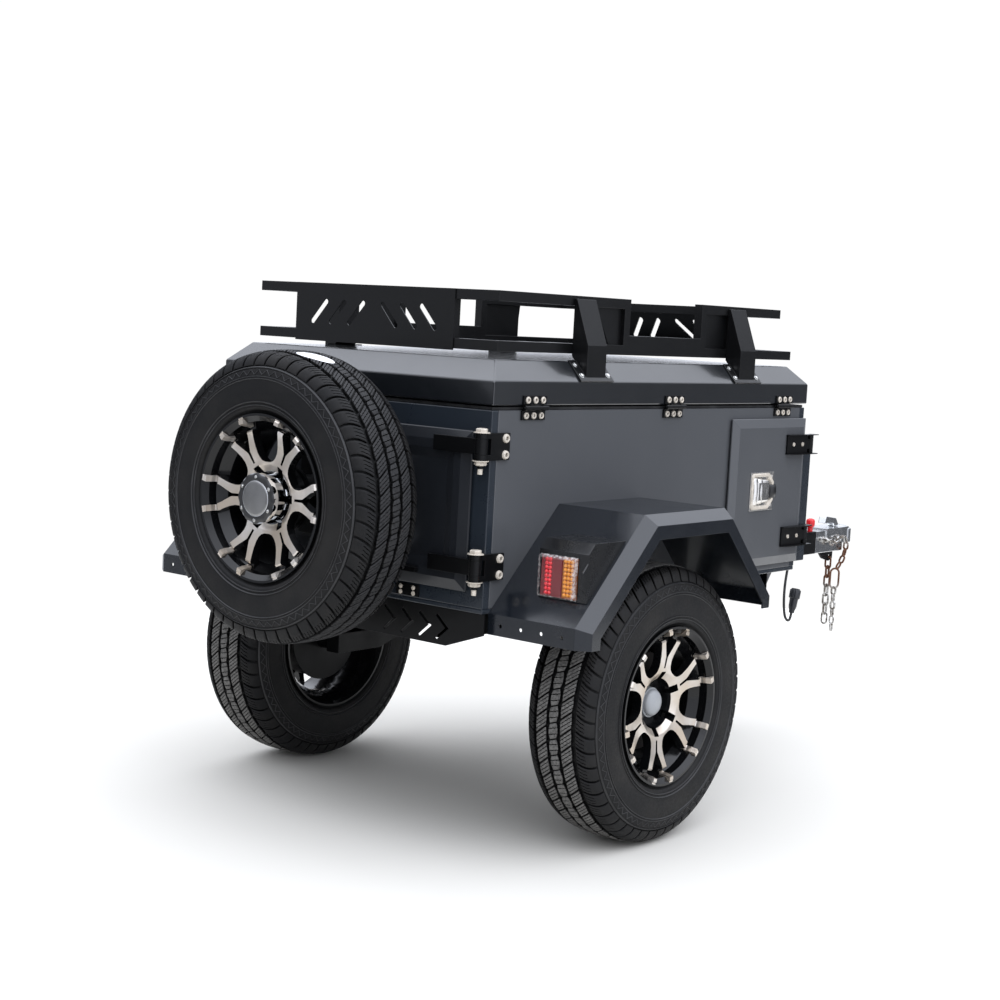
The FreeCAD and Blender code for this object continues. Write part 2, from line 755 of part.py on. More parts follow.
def tub_front():
    """Front wall, which swells into a shallow nose for the front locker."""
    z0 = body_floor_z + floor_thickness
    panel = box(-body_half_width, body_half_width, body_front_y - wall, body_front_y, z0,
                body_top_z)
    half = nose_half_width
    ring = [(-half, body_front_y, nose_bottom_z), (half, body_front_y, nose_bottom_z),
            (half, body_front_y, nose_top_z), (-half, body_front_y, nose_top_z)]
    edge_y = nose_front_y - nose_bevel
    mid = [(-half, edge_y, nose_bottom_z), (half, edge_y, nose_bottom_z),
           (half, edge_y, nose_top_z), (-half, edge_y, nose_top_z)]
    b = nose_bevel
    front = [(-half + b, nose_front_y, nose_bottom_z + b),
             (half - b, nose_front_y, nose_bottom_z + b),
             (half - b, nose_front_y, nose_top_z - b), (-half + b, nose_front_y, nose_top_z - b)]
    nose = joined([lofted(ring, mid), lofted(mid, front)])
    t = 3.0
    hollow = box(-half + t, half - t, body_front_y - wall, edge_y - t, nose_bottom_z + t,
                 nose_top_z - t)
    return joined([panel, nose]).cut(hollow)


def rear_skirt():
    """Black plate under the rear edge, with a row of chevron slots in each half."""
    y = body_rear_y
    z = rail_top_z
    half = body_half_width + 5.0
    points = [(-half, z), (half, z), (half, z - skirt_side_drop), (skirt_flat_half, z - skirt_drop),
              (-skirt_flat_half, z - skirt_drop), (-half, z - skirt_side_drop)]
    plate = prism(points, "y", y + 4, y + 8)
    chevrons = []
    for tip in chevron_tips:
        line = [(tip - chevron_reach, chevron_z + chevron_rise), (tip, chevron_z),
                (tip - chevron_reach, chevron_z - chevron_rise)]
        chevron = prism(line + offset_line(line, chevron_width)[::-1], "y", y, y + 12)
        chevrons += [chevron, mirrored(chevron)]
    return plate.cut(Part.makeCompound(chevrons))


def lid_seal():
    z0 = body_top_z
    outer = box(-body_half_width + 4, body_half_width - 4, body_rear_y + 4, body_front_y - 4, z0,
                z0 + seal_height)
    inner = box(-body_half_width + wall - 4, body_half_width - wall + 4, body_rear_y + wall - 4,
                body_front_y - wall + 4, z0, z0 + seal_height)
    return outer.cut(inner)


# Doors

def side_door(side):
    """Raised panel that overlaps the wall, and the plug behind it that fills the opening."""
    y0 = side_door_rear_y
    y1 = side_door_front_y
    z0 = side_door_bottom_z
    z1 = side_door_top_z
    x_back = body_half_width + door_gap
    x_edge = x_back + 5.0
    x_face = body_half_width + door_face
    b = door_bevel
    edge = box(x_back, x_edge, y0, y1, z0, z1)
    ring = [(x_edge, y0, z0), (x_edge, y1, z0), (x_edge, y1, z1), (x_edge, y0, z1)]
    face = [(x_face, y0 + b, z0 + b), (x_face, y1 - b, z0 + b), (x_face, y1 - b, z1 - b),
            (x_face, y0 + b, z1 - b)]
    inset = side_plug_inset
    plug = box(body_half_width - wall, x_back, y0 + inset, y1 - inset, z0 + inset, z1 - inset)
    door = joined([edge, lofted(ring, face), plug])
    return door if side > 0 else mirrored(door)


def side_latch(side):
    """Paddle latch in a square steel dish near the door's rear edge."""
    x0 = body_half_width + door_face
    y0 = side_door_rear_y + latch_dish_rear
    z0 = latch_dish_bottom_z
    length, height = latch_dish
    dish = box(x0, x0 + 4, y0, y0 + length, z0, z0 + height)
    dish = dish.cut(box(x0 + 1.5, x0 + 4, y0 + 10, y0 + length - 10, z0 + 10, z0 + height - 10))
    paddle = prism([(x0 + 1.5, y0 + 26), (x0 + 1.5, y0 + 102), (x0 + 9, y0 + 96),
                    (x0 + 12, y0 + 34)], "z", z0 + 30, z0 + 82)
    latch = joined([dish, paddle])
    return latch if side > 0 else mirrored(latch)


def side_hinge_levels():
    return (side_door_bottom_z + 55.0, side_door_top_z - 104.0)


def side_hinge_straps(side):
    """Folded channel straps on the door, each ending in the middle knuckle of its hinge."""
    x_face = body_half_width + door_face
    x_out = x_face + strap_thickness
    x = side_hinge_x
    y = side_hinge_y
    pieces = []
    for z0 in side_hinge_levels():
        low = z0 + 12
        high = z0 + strap_height - 12
        strap = box(x_face, x_out, y - 22 - strap_length, y - 22, z0, z0 + strap_height)
        link = box(x_face - 3, x_out, y - 22, y, low, high)
        knuckle = rod(side_hinge_radius, (x, y, low), (x, y, high))
        bore = rod(side_pin_radius + pin_fit, (x, y, z0), (x, y, z0 + strap_height))
        pieces.append(joined([strap, link, knuckle]).cut(bore))
    shape = Part.makeCompound(pieces)
    return shape if side > 0 else mirrored(shape)


def side_hinge_brackets():
    """Fixed halves of the side hinges on the nose: a plate, two knuckles and the pin."""
    pieces = []
    x = side_hinge_x
    y = side_hinge_y
    for z0 in side_hinge_levels():
        top = z0 + strap_height
        solids = [box(nose_half_width, nose_half_width + 5, y - 6, y + 46, z0, top)]
        for low, high in ((z0, z0 + 12 - running_gap), (top - 12 + running_gap, top)):
            solids.append(rod(side_hinge_radius, (x, y, low), (x, y, high)))
            solids.append(box(nose_half_width, x, y, y + side_hinge_radius, low, high))
        solids.append(rod(side_pin_radius, (x, y, z0 - 3), (x, y, top + 3)))
        pieces.append(joined(solids))
    return both_sides(Part.makeCompound(pieces))


def rear_door():
    """Rear door with a pressed centre panel: its plug fills the opening behind."""
    y_back = body_rear_y - door_gap
    y_edge = y_back - 5.0
    y_face = body_rear_y - door_face
    half = rear_door_half_width
    slab = bevelled_slab(-half, half, rear_door_bottom_z, rear_door_top_z, y_back, y_edge,
                         y_face, rear_door_bevel)
    inset = side_plug_inset
    plug = box(-half + inset, half - inset, y_back, body_rear_y + wall,
               rear_door_bottom_z + inset, rear_door_top_z - inset)
    near = rear_door_frame
    far = rear_door_frame + rear_door_recess_slope
    y_deep = y_face + rear_door_recess
    rim_ring = [(-half + near, y_face - 1, rear_door_bottom_z + near),
                (half - near, y_face - 1, rear_door_bottom_z + near),
                (half - near, y_face - 1, rear_door_top_z - near),
                (-half + near, y_face - 1, rear_door_top_z - near)]
    deep_ring = [(-half + far, y_deep, rear_door_bottom_z + far),
                 (half - far, y_deep, rear_door_bottom_z + far),
                 (half - far, y_deep, rear_door_top_z - far),
                 (-half + far, y_deep, rear_door_top_z - far)]
    return joined([slab, plug]).cut(lofted(rim_ring, deep_ring))


def spare_carrier():
    """Welded post that stands off the rear door and ends in the wheel's mounting plate."""
    y0 = body_rear_y - door_face + rear_door_recess
    hub_y = spare_centre_y() - rim_width / 2.0 + mount_face_depth
    base = box(-150, 150, y0 - 8, y0, spare_z - 115, spare_z + 115)
    post = rod(52, (0, y0 - 8, spare_z), (0, hub_y + 10, spare_z))
    plate = rod(84, (0, hub_y + 10, spare_z), (0, hub_y, spare_z))
    return joined([base, post, plate])


def spare_centre_y():
    return body_rear_y - door_face - spare_standoff - tyre_width / 2.0


def rear_latch():
    """Bolted lever latch at the door's lower edge, over its keeper on the tub."""
    y0 = body_rear_y - door_face
    z0 = rear_door_bottom_z + 4.0
    half = rear_latch_width / 2.0
    x = rear_latch_x
    plate = box(x - half, x + half, y0 - 4, y0, z0 + rear_door_bevel, z0 + rear_door_bevel + 14)
    lever = box(x - half - 12, x + half + 12, y0 - 16, y0 - 4, z0 + rear_door_bevel,
                z0 + rear_door_bevel + 12)
    return joined([plate, lever])


def rear_latch_keeper():
    """Plate on the tub's rear wall, just below the door, that the latch closes on."""
    half = rear_latch_width / 2.0
    return box(rear_latch_x - half, rear_latch_x + half, body_rear_y - 6, body_rear_y,
               body_floor_z + 16, rear_door_bottom_z - 6)


def rear_hinge_straps():
    """Door halves of the heavy rear hinges: strap and middle knuckle."""
    pieces = []
    x = rear_hinge_x
    y = rear_hinge_y
    y_face = body_rear_y - door_face
    for z0 in rear_strap_levels:
        low = z0 + 14
        high = z0 + rear_strap_height - 14
        strap = box(x - rear_strap_length, x, y_face - 12, y_face, low, high)
        knuckle = rod(rear_hinge_radius, (x, y, low), (x, y, high))
        bore = rod(rear_pin_radius + pin_fit, (x, y, z0), (x, y, z0 + rear_strap_height))
        pieces.append(joined([strap, knuckle]).cut(bore))
    return Part.makeCompound(pieces)


def rear_hinge_brackets():
    """Body halves: a plate on the side wall, two knuckles and the bolt through them."""
    pieces = []
    x = rear_hinge_x
    y = rear_hinge_y
    outer = body_half_width
    for z0 in rear_strap_levels:
        top = z0 + rear_strap_height
        solids = [box(outer, outer + 7, y + rear_hinge_radius + 2, y + 90, z0, top)]
        for low, high in ((z0, z0 + 14 - running_gap), (top - 14 + running_gap, top)):
            solids.append(rod(rear_hinge_radius, (x, y, low), (x, y, high)))
            solids.append(box(x, outer + 7, y, y + 20, low, high))
        solids.append(rod(rear_pin_radius, (x, y, z0 - 20), (x, y, top + 4)))
        solids.append(rod(rear_pin_radius + 5, (x, y, z0 - 12), (x, y, z0)))
        solids.append(rod(rear_pin_radius + 5, (x, y, top), (x, y, top + 10)))
        pieces.append(joined(solids))
    return Part.makeCompound(pieces)


# Lid

def lid_shell():
    """Hollow pressed top: a level band, sloped shoulders and a flat roof."""
    half = body_half_width + lid_overhang
    y0 = body_rear_y - lid_overhang
    y1 = body_front_y + lid_overhang

    def hull(inset, bottom, band, top):
        base = box(-half + inset, half - inset, y0 + inset, y1 - inset, bottom, band)
        low = [(-half + inset, y0 + inset, band), (half - inset, y0 + inset, band),
               (half - inset, y1 - inset, band), (-half + inset, y1 - inset, band)]
        dx = lid_inset_x + inset
        dy = lid_inset_y + inset
        high = [(-half + dx, y0 + dy, top), (half - dx, y0 + dy, top),
                (half - dx, y1 - dy, top), (-half + dx, y1 - dy, top)]
        return joined([base, lofted(low, high)])

    outer = hull(0, lid_band_bottom_z, lid_band_top_z, lid_top_z)
    inner = hull(lid_wall, lid_band_bottom_z - 1, lid_band_top_z - 6, lid_top_z - lid_wall)
    return outer.cut(inner)


def lid_hinge_places():
    return [axle_y + reach for reach in lid_hinge_reaches]


def lid_hinge_lower():
    """Fixed leaves on the tub's right side, each with two knuckles and the pin."""
    pieces = []
    x = lid_hinge_x
    z = lid_hinge_z
    for y in lid_hinge_places():
        y0 = y - lid_hinge_length / 2.0
        y1 = y + lid_hinge_length / 2.0
        solids = [box(body_half_width, body_half_width + 5, y0, y1, z - 30, z - 8)]
        for low, high in ((y0, y0 + 26), (y1 - 26, y1)):
            solids.append(rod(lid_hinge_radius, (x, low, z), (x, high, z)))
            web = [(body_half_width, z - 8), (body_half_width + 5, z - 8), (x + 3, z - 4),
                   (x, z), (x - 5, z - 3)]
            solids.append(prism(web, "y", low, high))
        solids.append(rod(lid_pin_radius, (x, y0 - 2, z), (x, y1 + 2, z)))
        pieces.append(joined(solids))
    return Part.makeCompound(pieces)


def lid_hinge_upper():
    """Leaves on the lid's band, each with the middle knuckle."""
    pieces = []
    x = lid_hinge_x
    z = lid_hinge_z
    edge = body_half_width + lid_overhang
    for y in lid_hinge_places():
        y0 = y - lid_hinge_length / 2.0
        y1 = y + lid_hinge_length / 2.0
        low = y0 + 26 + running_gap
        high = y1 - 26 - running_gap
        leaf = box(edge, edge + 4, y0, y1, z + 8, z + 30)
        knuckle = rod(lid_hinge_radius, (x, low, z), (x, high, z))
        web = prism([(edge, z + 8), (edge + 4, z + 8), (x + 3, z + 4), (x - 4, z + 2)], "y",
                    low, high)
        bore = rod(lid_pin_radius + pin_fit, (x, y0 - 4, z), (x, y1 + 4, z))
        pieces.append(joined([leaf, knuckle, web]).cut(bore))
    return Part.makeCompound(pieces)


# Roof rack

def rail_along(points, size):
    """Square tubes end to end along a line of points, each with its top at the point's z."""
    solids = []
    for (x0, y0, z0), (x1, y1, z1) in zip(points, points[1:]):
        solids.append(rail_piece((x0, y0, z0), (x1, y1, z1), size))
    return solids


def rail_piece(start, end, size):
    """Square bar between two points, which lie on the middle of its section."""
    start = Vector(*start)
    end = Vector(*end)
    line = end - start
    half = size / 2.0
    unit = Vector(line).normalize()
    side = Vector(0, 0, 1).cross(unit)
    if side.Length < 0.1:
        side = Vector(1, 0, 0)
    side.normalize()
    up = unit.cross(side)
    base = start - unit * half
    corners = [base + side * a + up * b for a, b in
               ((-half, -half), (half, -half), (half, half), (-half, half))]
    return Part.Face(Part.makePolygon(corners + corners[:1])).extrude(unit * (line.Length + size))


def rack_frame():
    """Welded rails: a level lower ring, and an upper ring that dips on both sides."""
    half = rack_rail / 2.0
    x = rack_half_width - half
    rear = axle_y - rack_rear_reach + half
    low_front = axle_y + rack_front_bottom_reach - half
    high_front = axle_y + rack_front_top_reach - half
    dip_rear = axle_y + rack_dip_rear_reach
    dip_front = axle_y + rack_dip_front_reach
    low = rack_bottom_z + half
    high = rack_top_z - half
    dip = low + rack_rail
    solids = rail_along([(-x, low_front, low), (-x, rear, low), (x, rear, low),
                         (x, low_front, low), (-x, low_front, low)], rack_rail)
    solids += rail_along([(-x, rear, high), (x, rear, high)], rack_rail)
    solids += rail_along([(-x, high_front, high), (x, high_front, high)], rack_rail)
    for s in (-1, 1):
        solids += rail_along([(s * x, rear, high), (s * x, dip_rear, high),
                              (s * x, dip_rear, dip), (s * x, dip_front, dip),
                              (s * x, dip_front, high), (s * x, high_front, high)], rack_rail)
    return joined(solids)


def slot(x0, z0, x1, z1, y0, y1):
    """Round-ended slanted slot through a plate that faces along y."""
    length = math.hypot(x1 - x0, z1 - z0)
    half = slot_width / 2.0
    bar = box(-half, half, y0, y1, 0, length)
    ends = [rod(half, (0, y0, z), (0, y1, z)) for z in (0, length)]
    shape = bar.fuse(ends)
    shape.rotate(Vector(0, 0, 0), Vector(0, 1, 0), math.degrees(math.atan2(x1 - x0, z1 - z0)))
    shape.translate(Vector(x0, 0, z0))
    return shape


def slanted_slots(y0, y1):
    """The rows of slots that lean in towards the rack's middle, for cutting a panel."""
    slots = []
    for s in (-1, 1):
        for x in slot_places:
            slots.append(slot(s * x, slot_low_z, s * (x - slot_lean), slot_low_z + slot_rise, y0, y1))
    return Part.makeCompound(slots)


def rack_panels():
    """Slotted sheets over the rear and front of the rack, and gussets along its sides."""
    y = axle_y - rack_rear_reach
    half = rack_panel_half_width
    sheet = box(-half, half, y - rack_sheet, y, rack_bottom_z - 4, rack_top_z)
    rear = sheet.cut(slanted_slots(y - 10, y + 10))
    z0 = rack_bottom_z + rack_rail
    z1 = rack_top_z - rack_rail
    fold = box(half - rack_sheet, half, y, y + rack_fold, z0, z1)
    rear = joined([rear, fold, mirrored(fold)])
    low_y = axle_y + rack_front_bottom_reach
    high_y = axle_y + rack_front_top_reach
    line = [(low_y, rack_bottom_z + 2), (low_y, rack_bottom_z + rack_rail),
            (high_y, rack_top_z - rack_rail), (high_y, rack_top_z)]
    sheet = prism(line + offset_line(line, rack_sheet)[::-1], "x", -half, half)
    front = sheet.cut(slanted_slots(high_y - 10, low_y + 20))
    pieces = [rear, front]
    x = rack_half_width - rack_rail / 2.0
    dip_rear = axle_y + rack_dip_rear_reach - rack_rail / 2.0
    dip_front = axle_y + rack_dip_front_reach + rack_rail / 2.0
    outlines = ([(dip_rear - 52, z0), (dip_rear, z0), (dip_rear, z1), (dip_rear - 112, z1)],
                [(dip_front, z0), (dip_front + 166, z0), (dip_front + 178, z1), (dip_front, z1)])
    for points in outlines:
        gusset = prism(points, "x", x - gusset_plate / 2.0, x + gusset_plate / 2.0)
        pieces += [gusset, mirrored(gusset)]
    return Part.makeCompound(pieces)


def rack_floor():
    """Slats across the lower ring."""
    slats = []
    half = rack_half_width - rack_rail
    y = axle_y - rack_rear_reach + slat_first
    z = rack_bottom_z + 6
    while y < axle_y + rack_front_bottom_reach - 100.0:
        slats.append(box(-half, half, y, y + slat_width, z, z + slat_thickness))
        y += slat_pitch
    return Part.makeCompound(slats)


def rack_brackets():
    """Box uprights on the lid's shoulders, which lean in to the top rails."""
    pieces = []
    edge = body_half_width + lid_overhang
    foot_x = edge - lid_inset_x
    t = bracket_foot
    for reach in bracket_reaches:
        y0 = axle_y + reach - bracket_width / 2.0
        y1 = y0 + bracket_width
        x_out = edge - 4.0
        x_in = rack_half_width + 0.3
        points = [(x_out, lid_band_top_z + 5), (x_out, 1273), (x_in + 8, rack_top_z - 8),
                  (x_in, rack_top_z - 8), (x_in, 1244), (foot_x + 4, lid_top_z - 2)]
        post = prism(points, "y", y0, y1)
        shoulder = [(edge, lid_band_top_z), (foot_x, lid_top_z)]
        foot = prism(offset_line(shoulder, seat_gap) + offset_line(shoulder, t)[::-1], "y",
                     y0 - bracket_foot_margin, y1 + bracket_foot_margin)
        solid = joined([post, foot])
        pieces += [solid, mirrored(solid)]
    return Part.makeCompound(pieces)


# Jack

def jack_y():
    return axle_y + jack_reach


def jack_sleeve():
    """Outer tube of the jockey jack, its clamp on the drawbar and the winding crank."""
    y = jack_y()
    x = jack_x
    top = jack_outer_top_z
    low = jack_clamp_low_z
    high = jack_clamp_high_z
    tube = pipe(jack_outer_radius, jack_wall, (x, y, jack_outer_bottom_z), (x, y, top))
    collar = pipe(jack_outer_radius + 8, 8.0, (x, y, low), (x, y, high))
    plate = box(x + jack_outer_radius + 2, -drawbar_width / 2.0, y - 34, y + 34, low, high)
    cap = rod(jack_outer_radius + 2, (x, y, top), (x, y, top + 22))
    crank = box(x - 8, x + 8, y, y + 96, top + 22, top + 30)
    grip = rod(9, (x, y + 84, top + 30), (x, y + 84, top + 86))
    return joined([tube, collar, plate, cap, crank, grip])


def jack_leg():
    """Inner tube with the castor fork."""
    x = jack_x
    y = jack_y()
    hub_y = y - jack_trail
    hub_z = jack_wheel_radius
    radius = jack_outer_radius - jack_wall - slide_fit
    fork_top = 2 * jack_wheel_radius + 22.0
    tube = rod(radius, (x, y, fork_top), (x, y, jack_inner_top_z))
    crown = box(x - 40, x + 40, hub_y - 24, y + radius, fork_top - 8, fork_top)
    solids = [tube, crown]
    outline = [(hub_y - 18, hub_z - 18), (hub_y + 18, hub_z - 18), (y + radius, fork_top - 8),
               (hub_y - 24, fork_top - 8)]
    for low, high in ((x - 40, x - 34), (x + 34, x + 40)):
        solids.append(prism(outline, "x", low, high))
    solids.append(rod(jack_axle_radius, (x - 44, hub_y, hub_z), (x + 44, hub_y, hub_z)))
    return joined(solids)


def jack_wheel():
    y = jack_y() - jack_trail
    half = jack_wheel_width / 2.0
    r = jack_wheel_radius
    bore = jack_axle_radius + pin_fit
    profile = [(bore, -half), (26, -half), (30, -14), (r - 36, -14), (r - 34, -half + 4),
               (r - 8, -half + 2), (r, -half + 10), (r, half - 10), (r - 8, half - 2),
               (r - 34, half - 4), (r - 36, 14), (30, 14), (26, half), (bore, half)]
    return spun(profile, (jack_x, y, r), "x")


# Cable, plug and chain

def cable_place(i):
    x, reach, z = cable_points[i]
    return x, axle_y + reach, z


def cable_gland():
    """Rubber bush under the drawbar that the cable leaves from."""
    x, y, z = cable_place(0)
    return pipe(gland_radius, gland_radius - cable_radius - slide_fit, (x, y, z - gland_height),
                (x, y, z))


def cable_path():
    """Straight runs joined by tangent arcs, each arc as large as its two runs allow."""
    points = [Vector(*cable_place(i)) for i in range(len(cable_points))]
    edges = []
    radii = []
    start = points[0]
    for before, corner, after in zip(points, points[1:], points[2:]):
        a = (before - corner)
        b = (after - corner)
        shorter = min(a.Length, b.Length)
        turn = math.pi - a.getAngle(b)
        radius = 0.45 * shorter / math.tan(turn / 2.0)
        cut = 0.45 * shorter
        a.normalize()
        b.normalize()
        enter = corner + a * cut
        leave = corner + b * cut
        bisector = (a + b).normalize()
        middle = corner + bisector * (radius / math.cos(turn / 2.0) - radius)
        if (enter - start).Length > 1e-6:
            edges.append(Part.LineSegment(start, enter).toShape())
        edges.append(Part.Arc(enter, middle, leave).toShape())
        radii.append(radius)
        start = leave
    edges.append(Part.LineSegment(start, points[-1]).toShape())
    return Part.Wire(edges), radii


def cable():
    path, radii = cable_path()
    print("cable radii", [round(r, 1) for r in radii], "length", round(path.Length, 1))
    start = path.Vertexes[0].Point
    first = path.Edges[0]
    ring = Part.Wire([Part.makeCircle(cable_radius, start, first.tangentAt(first.FirstParameter))])
    tube = path.makePipeShell([ring], True, True)
    section = math.pi * cable_radius ** 2
    print("cable volume", round(tube.Volume), "section times length", round(section * path.Length))
    return tube


def plug():
    """Round trailer plug with a hinged-cap collar, hung nose up from its lanyard."""
    x, y, z = cable_place(-1)
    profile = [(0, 0), (9, 0), (13, 6), (15, 24), (15, 50), (19, 54), (19, 84), (15, 88), (0, 88)]
    body = spun(profile, (x, y, z), "z")
    body.rotate(Vector(x, y, z), Vector(1, 0, 0), -plug_lean)
    return body


def chain_link(middle, turned):
    """One hexagonal-wire link: two half rings and two straight sides, hung upright."""
    ring_radius = link_inner_half + link_wire
    rise = link_height / 2.0 - ring_radius
    a = ring_radius
    places = [(-a, -rise), (-a, rise), (0, rise + a), (a, rise), (a, -rise), (0, -rise - a)]
    points = [Vector(u, 0, v) if turned else Vector(0, u, v) for u, v in places]
    edges = [Part.LineSegment(points[0], points[1]).toShape(),
             Part.Arc(points[1], points[2], points[3]).toShape(),
             Part.LineSegment(points[3], points[4]).toShape(),
             Part.Arc(points[4], points[5], points[0]).toShape()]
    ring = []
    for i in range(6):
        angle = math.radians(60 * i)
        u = math.cos(angle) * link_wire
        v = math.sin(angle) * link_wire
        ring.append(points[0] + (Vector(u, v, 0) if turned else Vector(v, u, 0)))
    section = Part.makePolygon(ring + ring[:1])
    link = Part.Wire(edges).makePipeShell([section], True, False, 2)
    link.translate(Vector(*middle))
    return link


def chain():
    """Safety chain that hangs from the gusset's eye, each link resting in the one above."""
    x, y, z = chain_eye()
    pitch = link_height - 2.0 * link_wire - seat_gap
    drop = link_inner_half - math.sqrt(link_inner_half ** 2 - eye_plate_half ** 2)
    top = z - chain_eye_radius + link_wire + drop + seat_gap
    links = []
    for i in range(chain_links):
        links.append(chain_link((x, y, top - link_height / 2.0 - i * pitch), i % 2 == 0))
    return Part.makeCompound(links)


# Output

nodes = {}


def add_wheel(name, centre, axis, outward, turn, crowned):
    nodes["tyre_" + name] = tyre(centre, axis)
    nodes["rim_" + name] = rim(centre, axis, outward, turn, crowned)


add_wheel("right", (wheel_centre_x, axle_y, tyre_radius), "x", 1, -road_turn, False)
add_wheel("left", (-wheel_centre_x, axle_y, tyre_radius), "x", -1, -road_turn, False)
add_wheel("spare", (0, spare_centre_y(), spare_z), "y", -1, spare_turn, True)
nodes["brake_drum_right"] = brake_drum(1)
nodes["brake_drum_left"] = brake_drum(-1)
nodes["frame_rails"] = frame_rails()
nodes["cross_members"] = cross_members()
nodes["drawbar"] = drawbar()
nodes["drawbar_braces"] = drawbar_braces()
nodes["coupling_gusset"] = coupling_gusset()
nodes["coupling_body"] = coupling_body()
nodes["coupling_handle"] = coupling_handle()
nodes["suspension_tubes"] = suspension_tubes()
nodes["trailing_arms"] = trailing_arms()
nodes["stub_axles"] = stub_axles()
nodes["fender_right"] = fender(1)
nodes["fender_left"] = fender(-1)
nodes["lamp_hoods"] = lamp_hoods()
nodes["tail_lenses_red"] = tail_lenses("red")
nodes["tail_lenses_amber"] = tail_lenses("amber")
nodes["tub_floor"] = tub_floor()
nodes["tub_side_right"] = tub_side(1)
nodes["tub_side_left"] = tub_side(-1)
nodes["tub_rear"] = tub_rear()
nodes["tub_front"] = tub_front()
nodes["rear_skirt"] = rear_skirt()
nodes["lid_seal"] = lid_seal()
nodes["side_door_right"] = side_door(1)
nodes["side_door_left"] = side_door(-1)
nodes["side_latch_right"] = side_latch(1)
nodes["side_latch_left"] = side_latch(-1)
nodes["side_hinge_straps_right"] = side_hinge_straps(1)
nodes["side_hinge_straps_left"] = side_hinge_straps(-1)
nodes["side_hinge_brackets"] = side_hinge_brackets()
nodes["rear_door"] = rear_door()
nodes["spare_carrier"] = spare_carrier()
nodes["rear_latch"] = rear_latch()
nodes["rear_latch_keeper"] = rear_latch_keeper()
nodes["rear_hinge_straps"] = rear_hinge_straps()
nodes["rear_hinge_brackets"] = rear_hinge_brackets()
nodes["lid_shell"] = lid_shell()
nodes["lid_hinge_lower"] = lid_hinge_lower()
nodes["lid_hinge_upper"] = lid_hinge_upper()
nodes["rack_frame"] = rack_frame()
nodes["rack_panels"] = rack_panels()
nodes["rack_floor"] = rack_floor()
nodes["rack_brackets"] = rack_brackets()
nodes["jack_sleeve"] = jack_sleeve()
nodes["jack_leg"] = jack_leg()
nodes["jack_wheel"] = jack_wheel()
nodes["chain"] = chain()
nodes["cable_gland"] = cable_gland()
nodes["cable"] = cable()
nodes["plug"] = plug()

os.makedirs("parts", exist_ok=True)
for name, shape in nodes.items():
    shape.exportStep("parts/" + name + ".step")
print("nodes", len(nodes))
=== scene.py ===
import math

import bmesh
import bpy
import numpy as np
from mathutils import Matrix, Vector


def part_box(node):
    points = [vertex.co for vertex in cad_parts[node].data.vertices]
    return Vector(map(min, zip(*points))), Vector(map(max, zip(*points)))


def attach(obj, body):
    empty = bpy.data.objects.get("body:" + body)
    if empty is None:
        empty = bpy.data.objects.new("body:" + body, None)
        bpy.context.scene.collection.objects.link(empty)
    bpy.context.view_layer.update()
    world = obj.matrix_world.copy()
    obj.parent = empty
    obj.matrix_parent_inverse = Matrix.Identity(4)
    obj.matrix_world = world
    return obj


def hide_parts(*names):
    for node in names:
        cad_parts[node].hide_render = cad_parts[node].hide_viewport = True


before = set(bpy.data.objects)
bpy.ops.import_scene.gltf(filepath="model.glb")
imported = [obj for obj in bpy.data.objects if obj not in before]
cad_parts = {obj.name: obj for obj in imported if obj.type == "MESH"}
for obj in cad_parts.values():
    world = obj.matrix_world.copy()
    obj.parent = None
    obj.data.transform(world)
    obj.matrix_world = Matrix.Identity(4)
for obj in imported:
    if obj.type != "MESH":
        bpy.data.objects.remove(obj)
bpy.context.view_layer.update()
axle_y = (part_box("tyre_right")[0].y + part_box("tyre_right")[1].y) / 2

# Camera
# A long lens behind the trailer's right rear corner, a little above the lid and held with
# a slight roll. Its place is given from the axle line.
view_azimuth = math.radians(38.79)
view_elevation = math.radians(5.70)
view_roll = math.radians(3.05)
lens_pixels = 1826.59
frame_pixels = 1000
back = Vector((math.sin(view_azimuth) * math.cos(view_elevation),
               -math.cos(view_azimuth) * math.cos(view_elevation), math.sin(view_elevation)))
level = (-back).cross(Vector((0, 0, 1))).normalized()
upright = level.cross(-back)
camera_right = math.cos(view_roll) * level + math.sin(view_roll) * upright
camera_up = math.cos(view_roll) * upright - math.sin(view_roll) * level
camera = bpy.data.objects.new("camera", bpy.data.cameras.new("camera"))
camera.data.sensor_width = 36
camera.data.lens = camera.data.sensor_width * lens_pixels / frame_pixels
camera.matrix_world = Matrix.Translation((3.2249, axle_y - 3.8898, 1.3323)) @ Matrix(
    (camera_right, camera_up, back)).transposed().to_4x4()
bpy.context.scene.collection.objects.link(camera)
bpy.context.scene.camera = camera


# Trailer cable
# A thin rubber-sheathed cable that leaves a bush under the drawbar, hangs in a loop and rises
# into the plug. Its route is the one of the solid model, as control points of one NURBS line.
cable_points = [(0, 1.776, 0.551), (0, 1.776, 0.523), (0.001, 1.765, 0.487),
                (0.004, 1.752, 0.445), (0.008, 1.744, 0.405), (0.012, 1.741, 0.368),
                (0.015, 1.744, 0.338), (0.017, 1.756, 0.320), (0.018, 1.772, 0.316),
                (0.018, 1.782, 0.326), (0.018, 1.786, 0.342)]
cable_radius = 0.0045


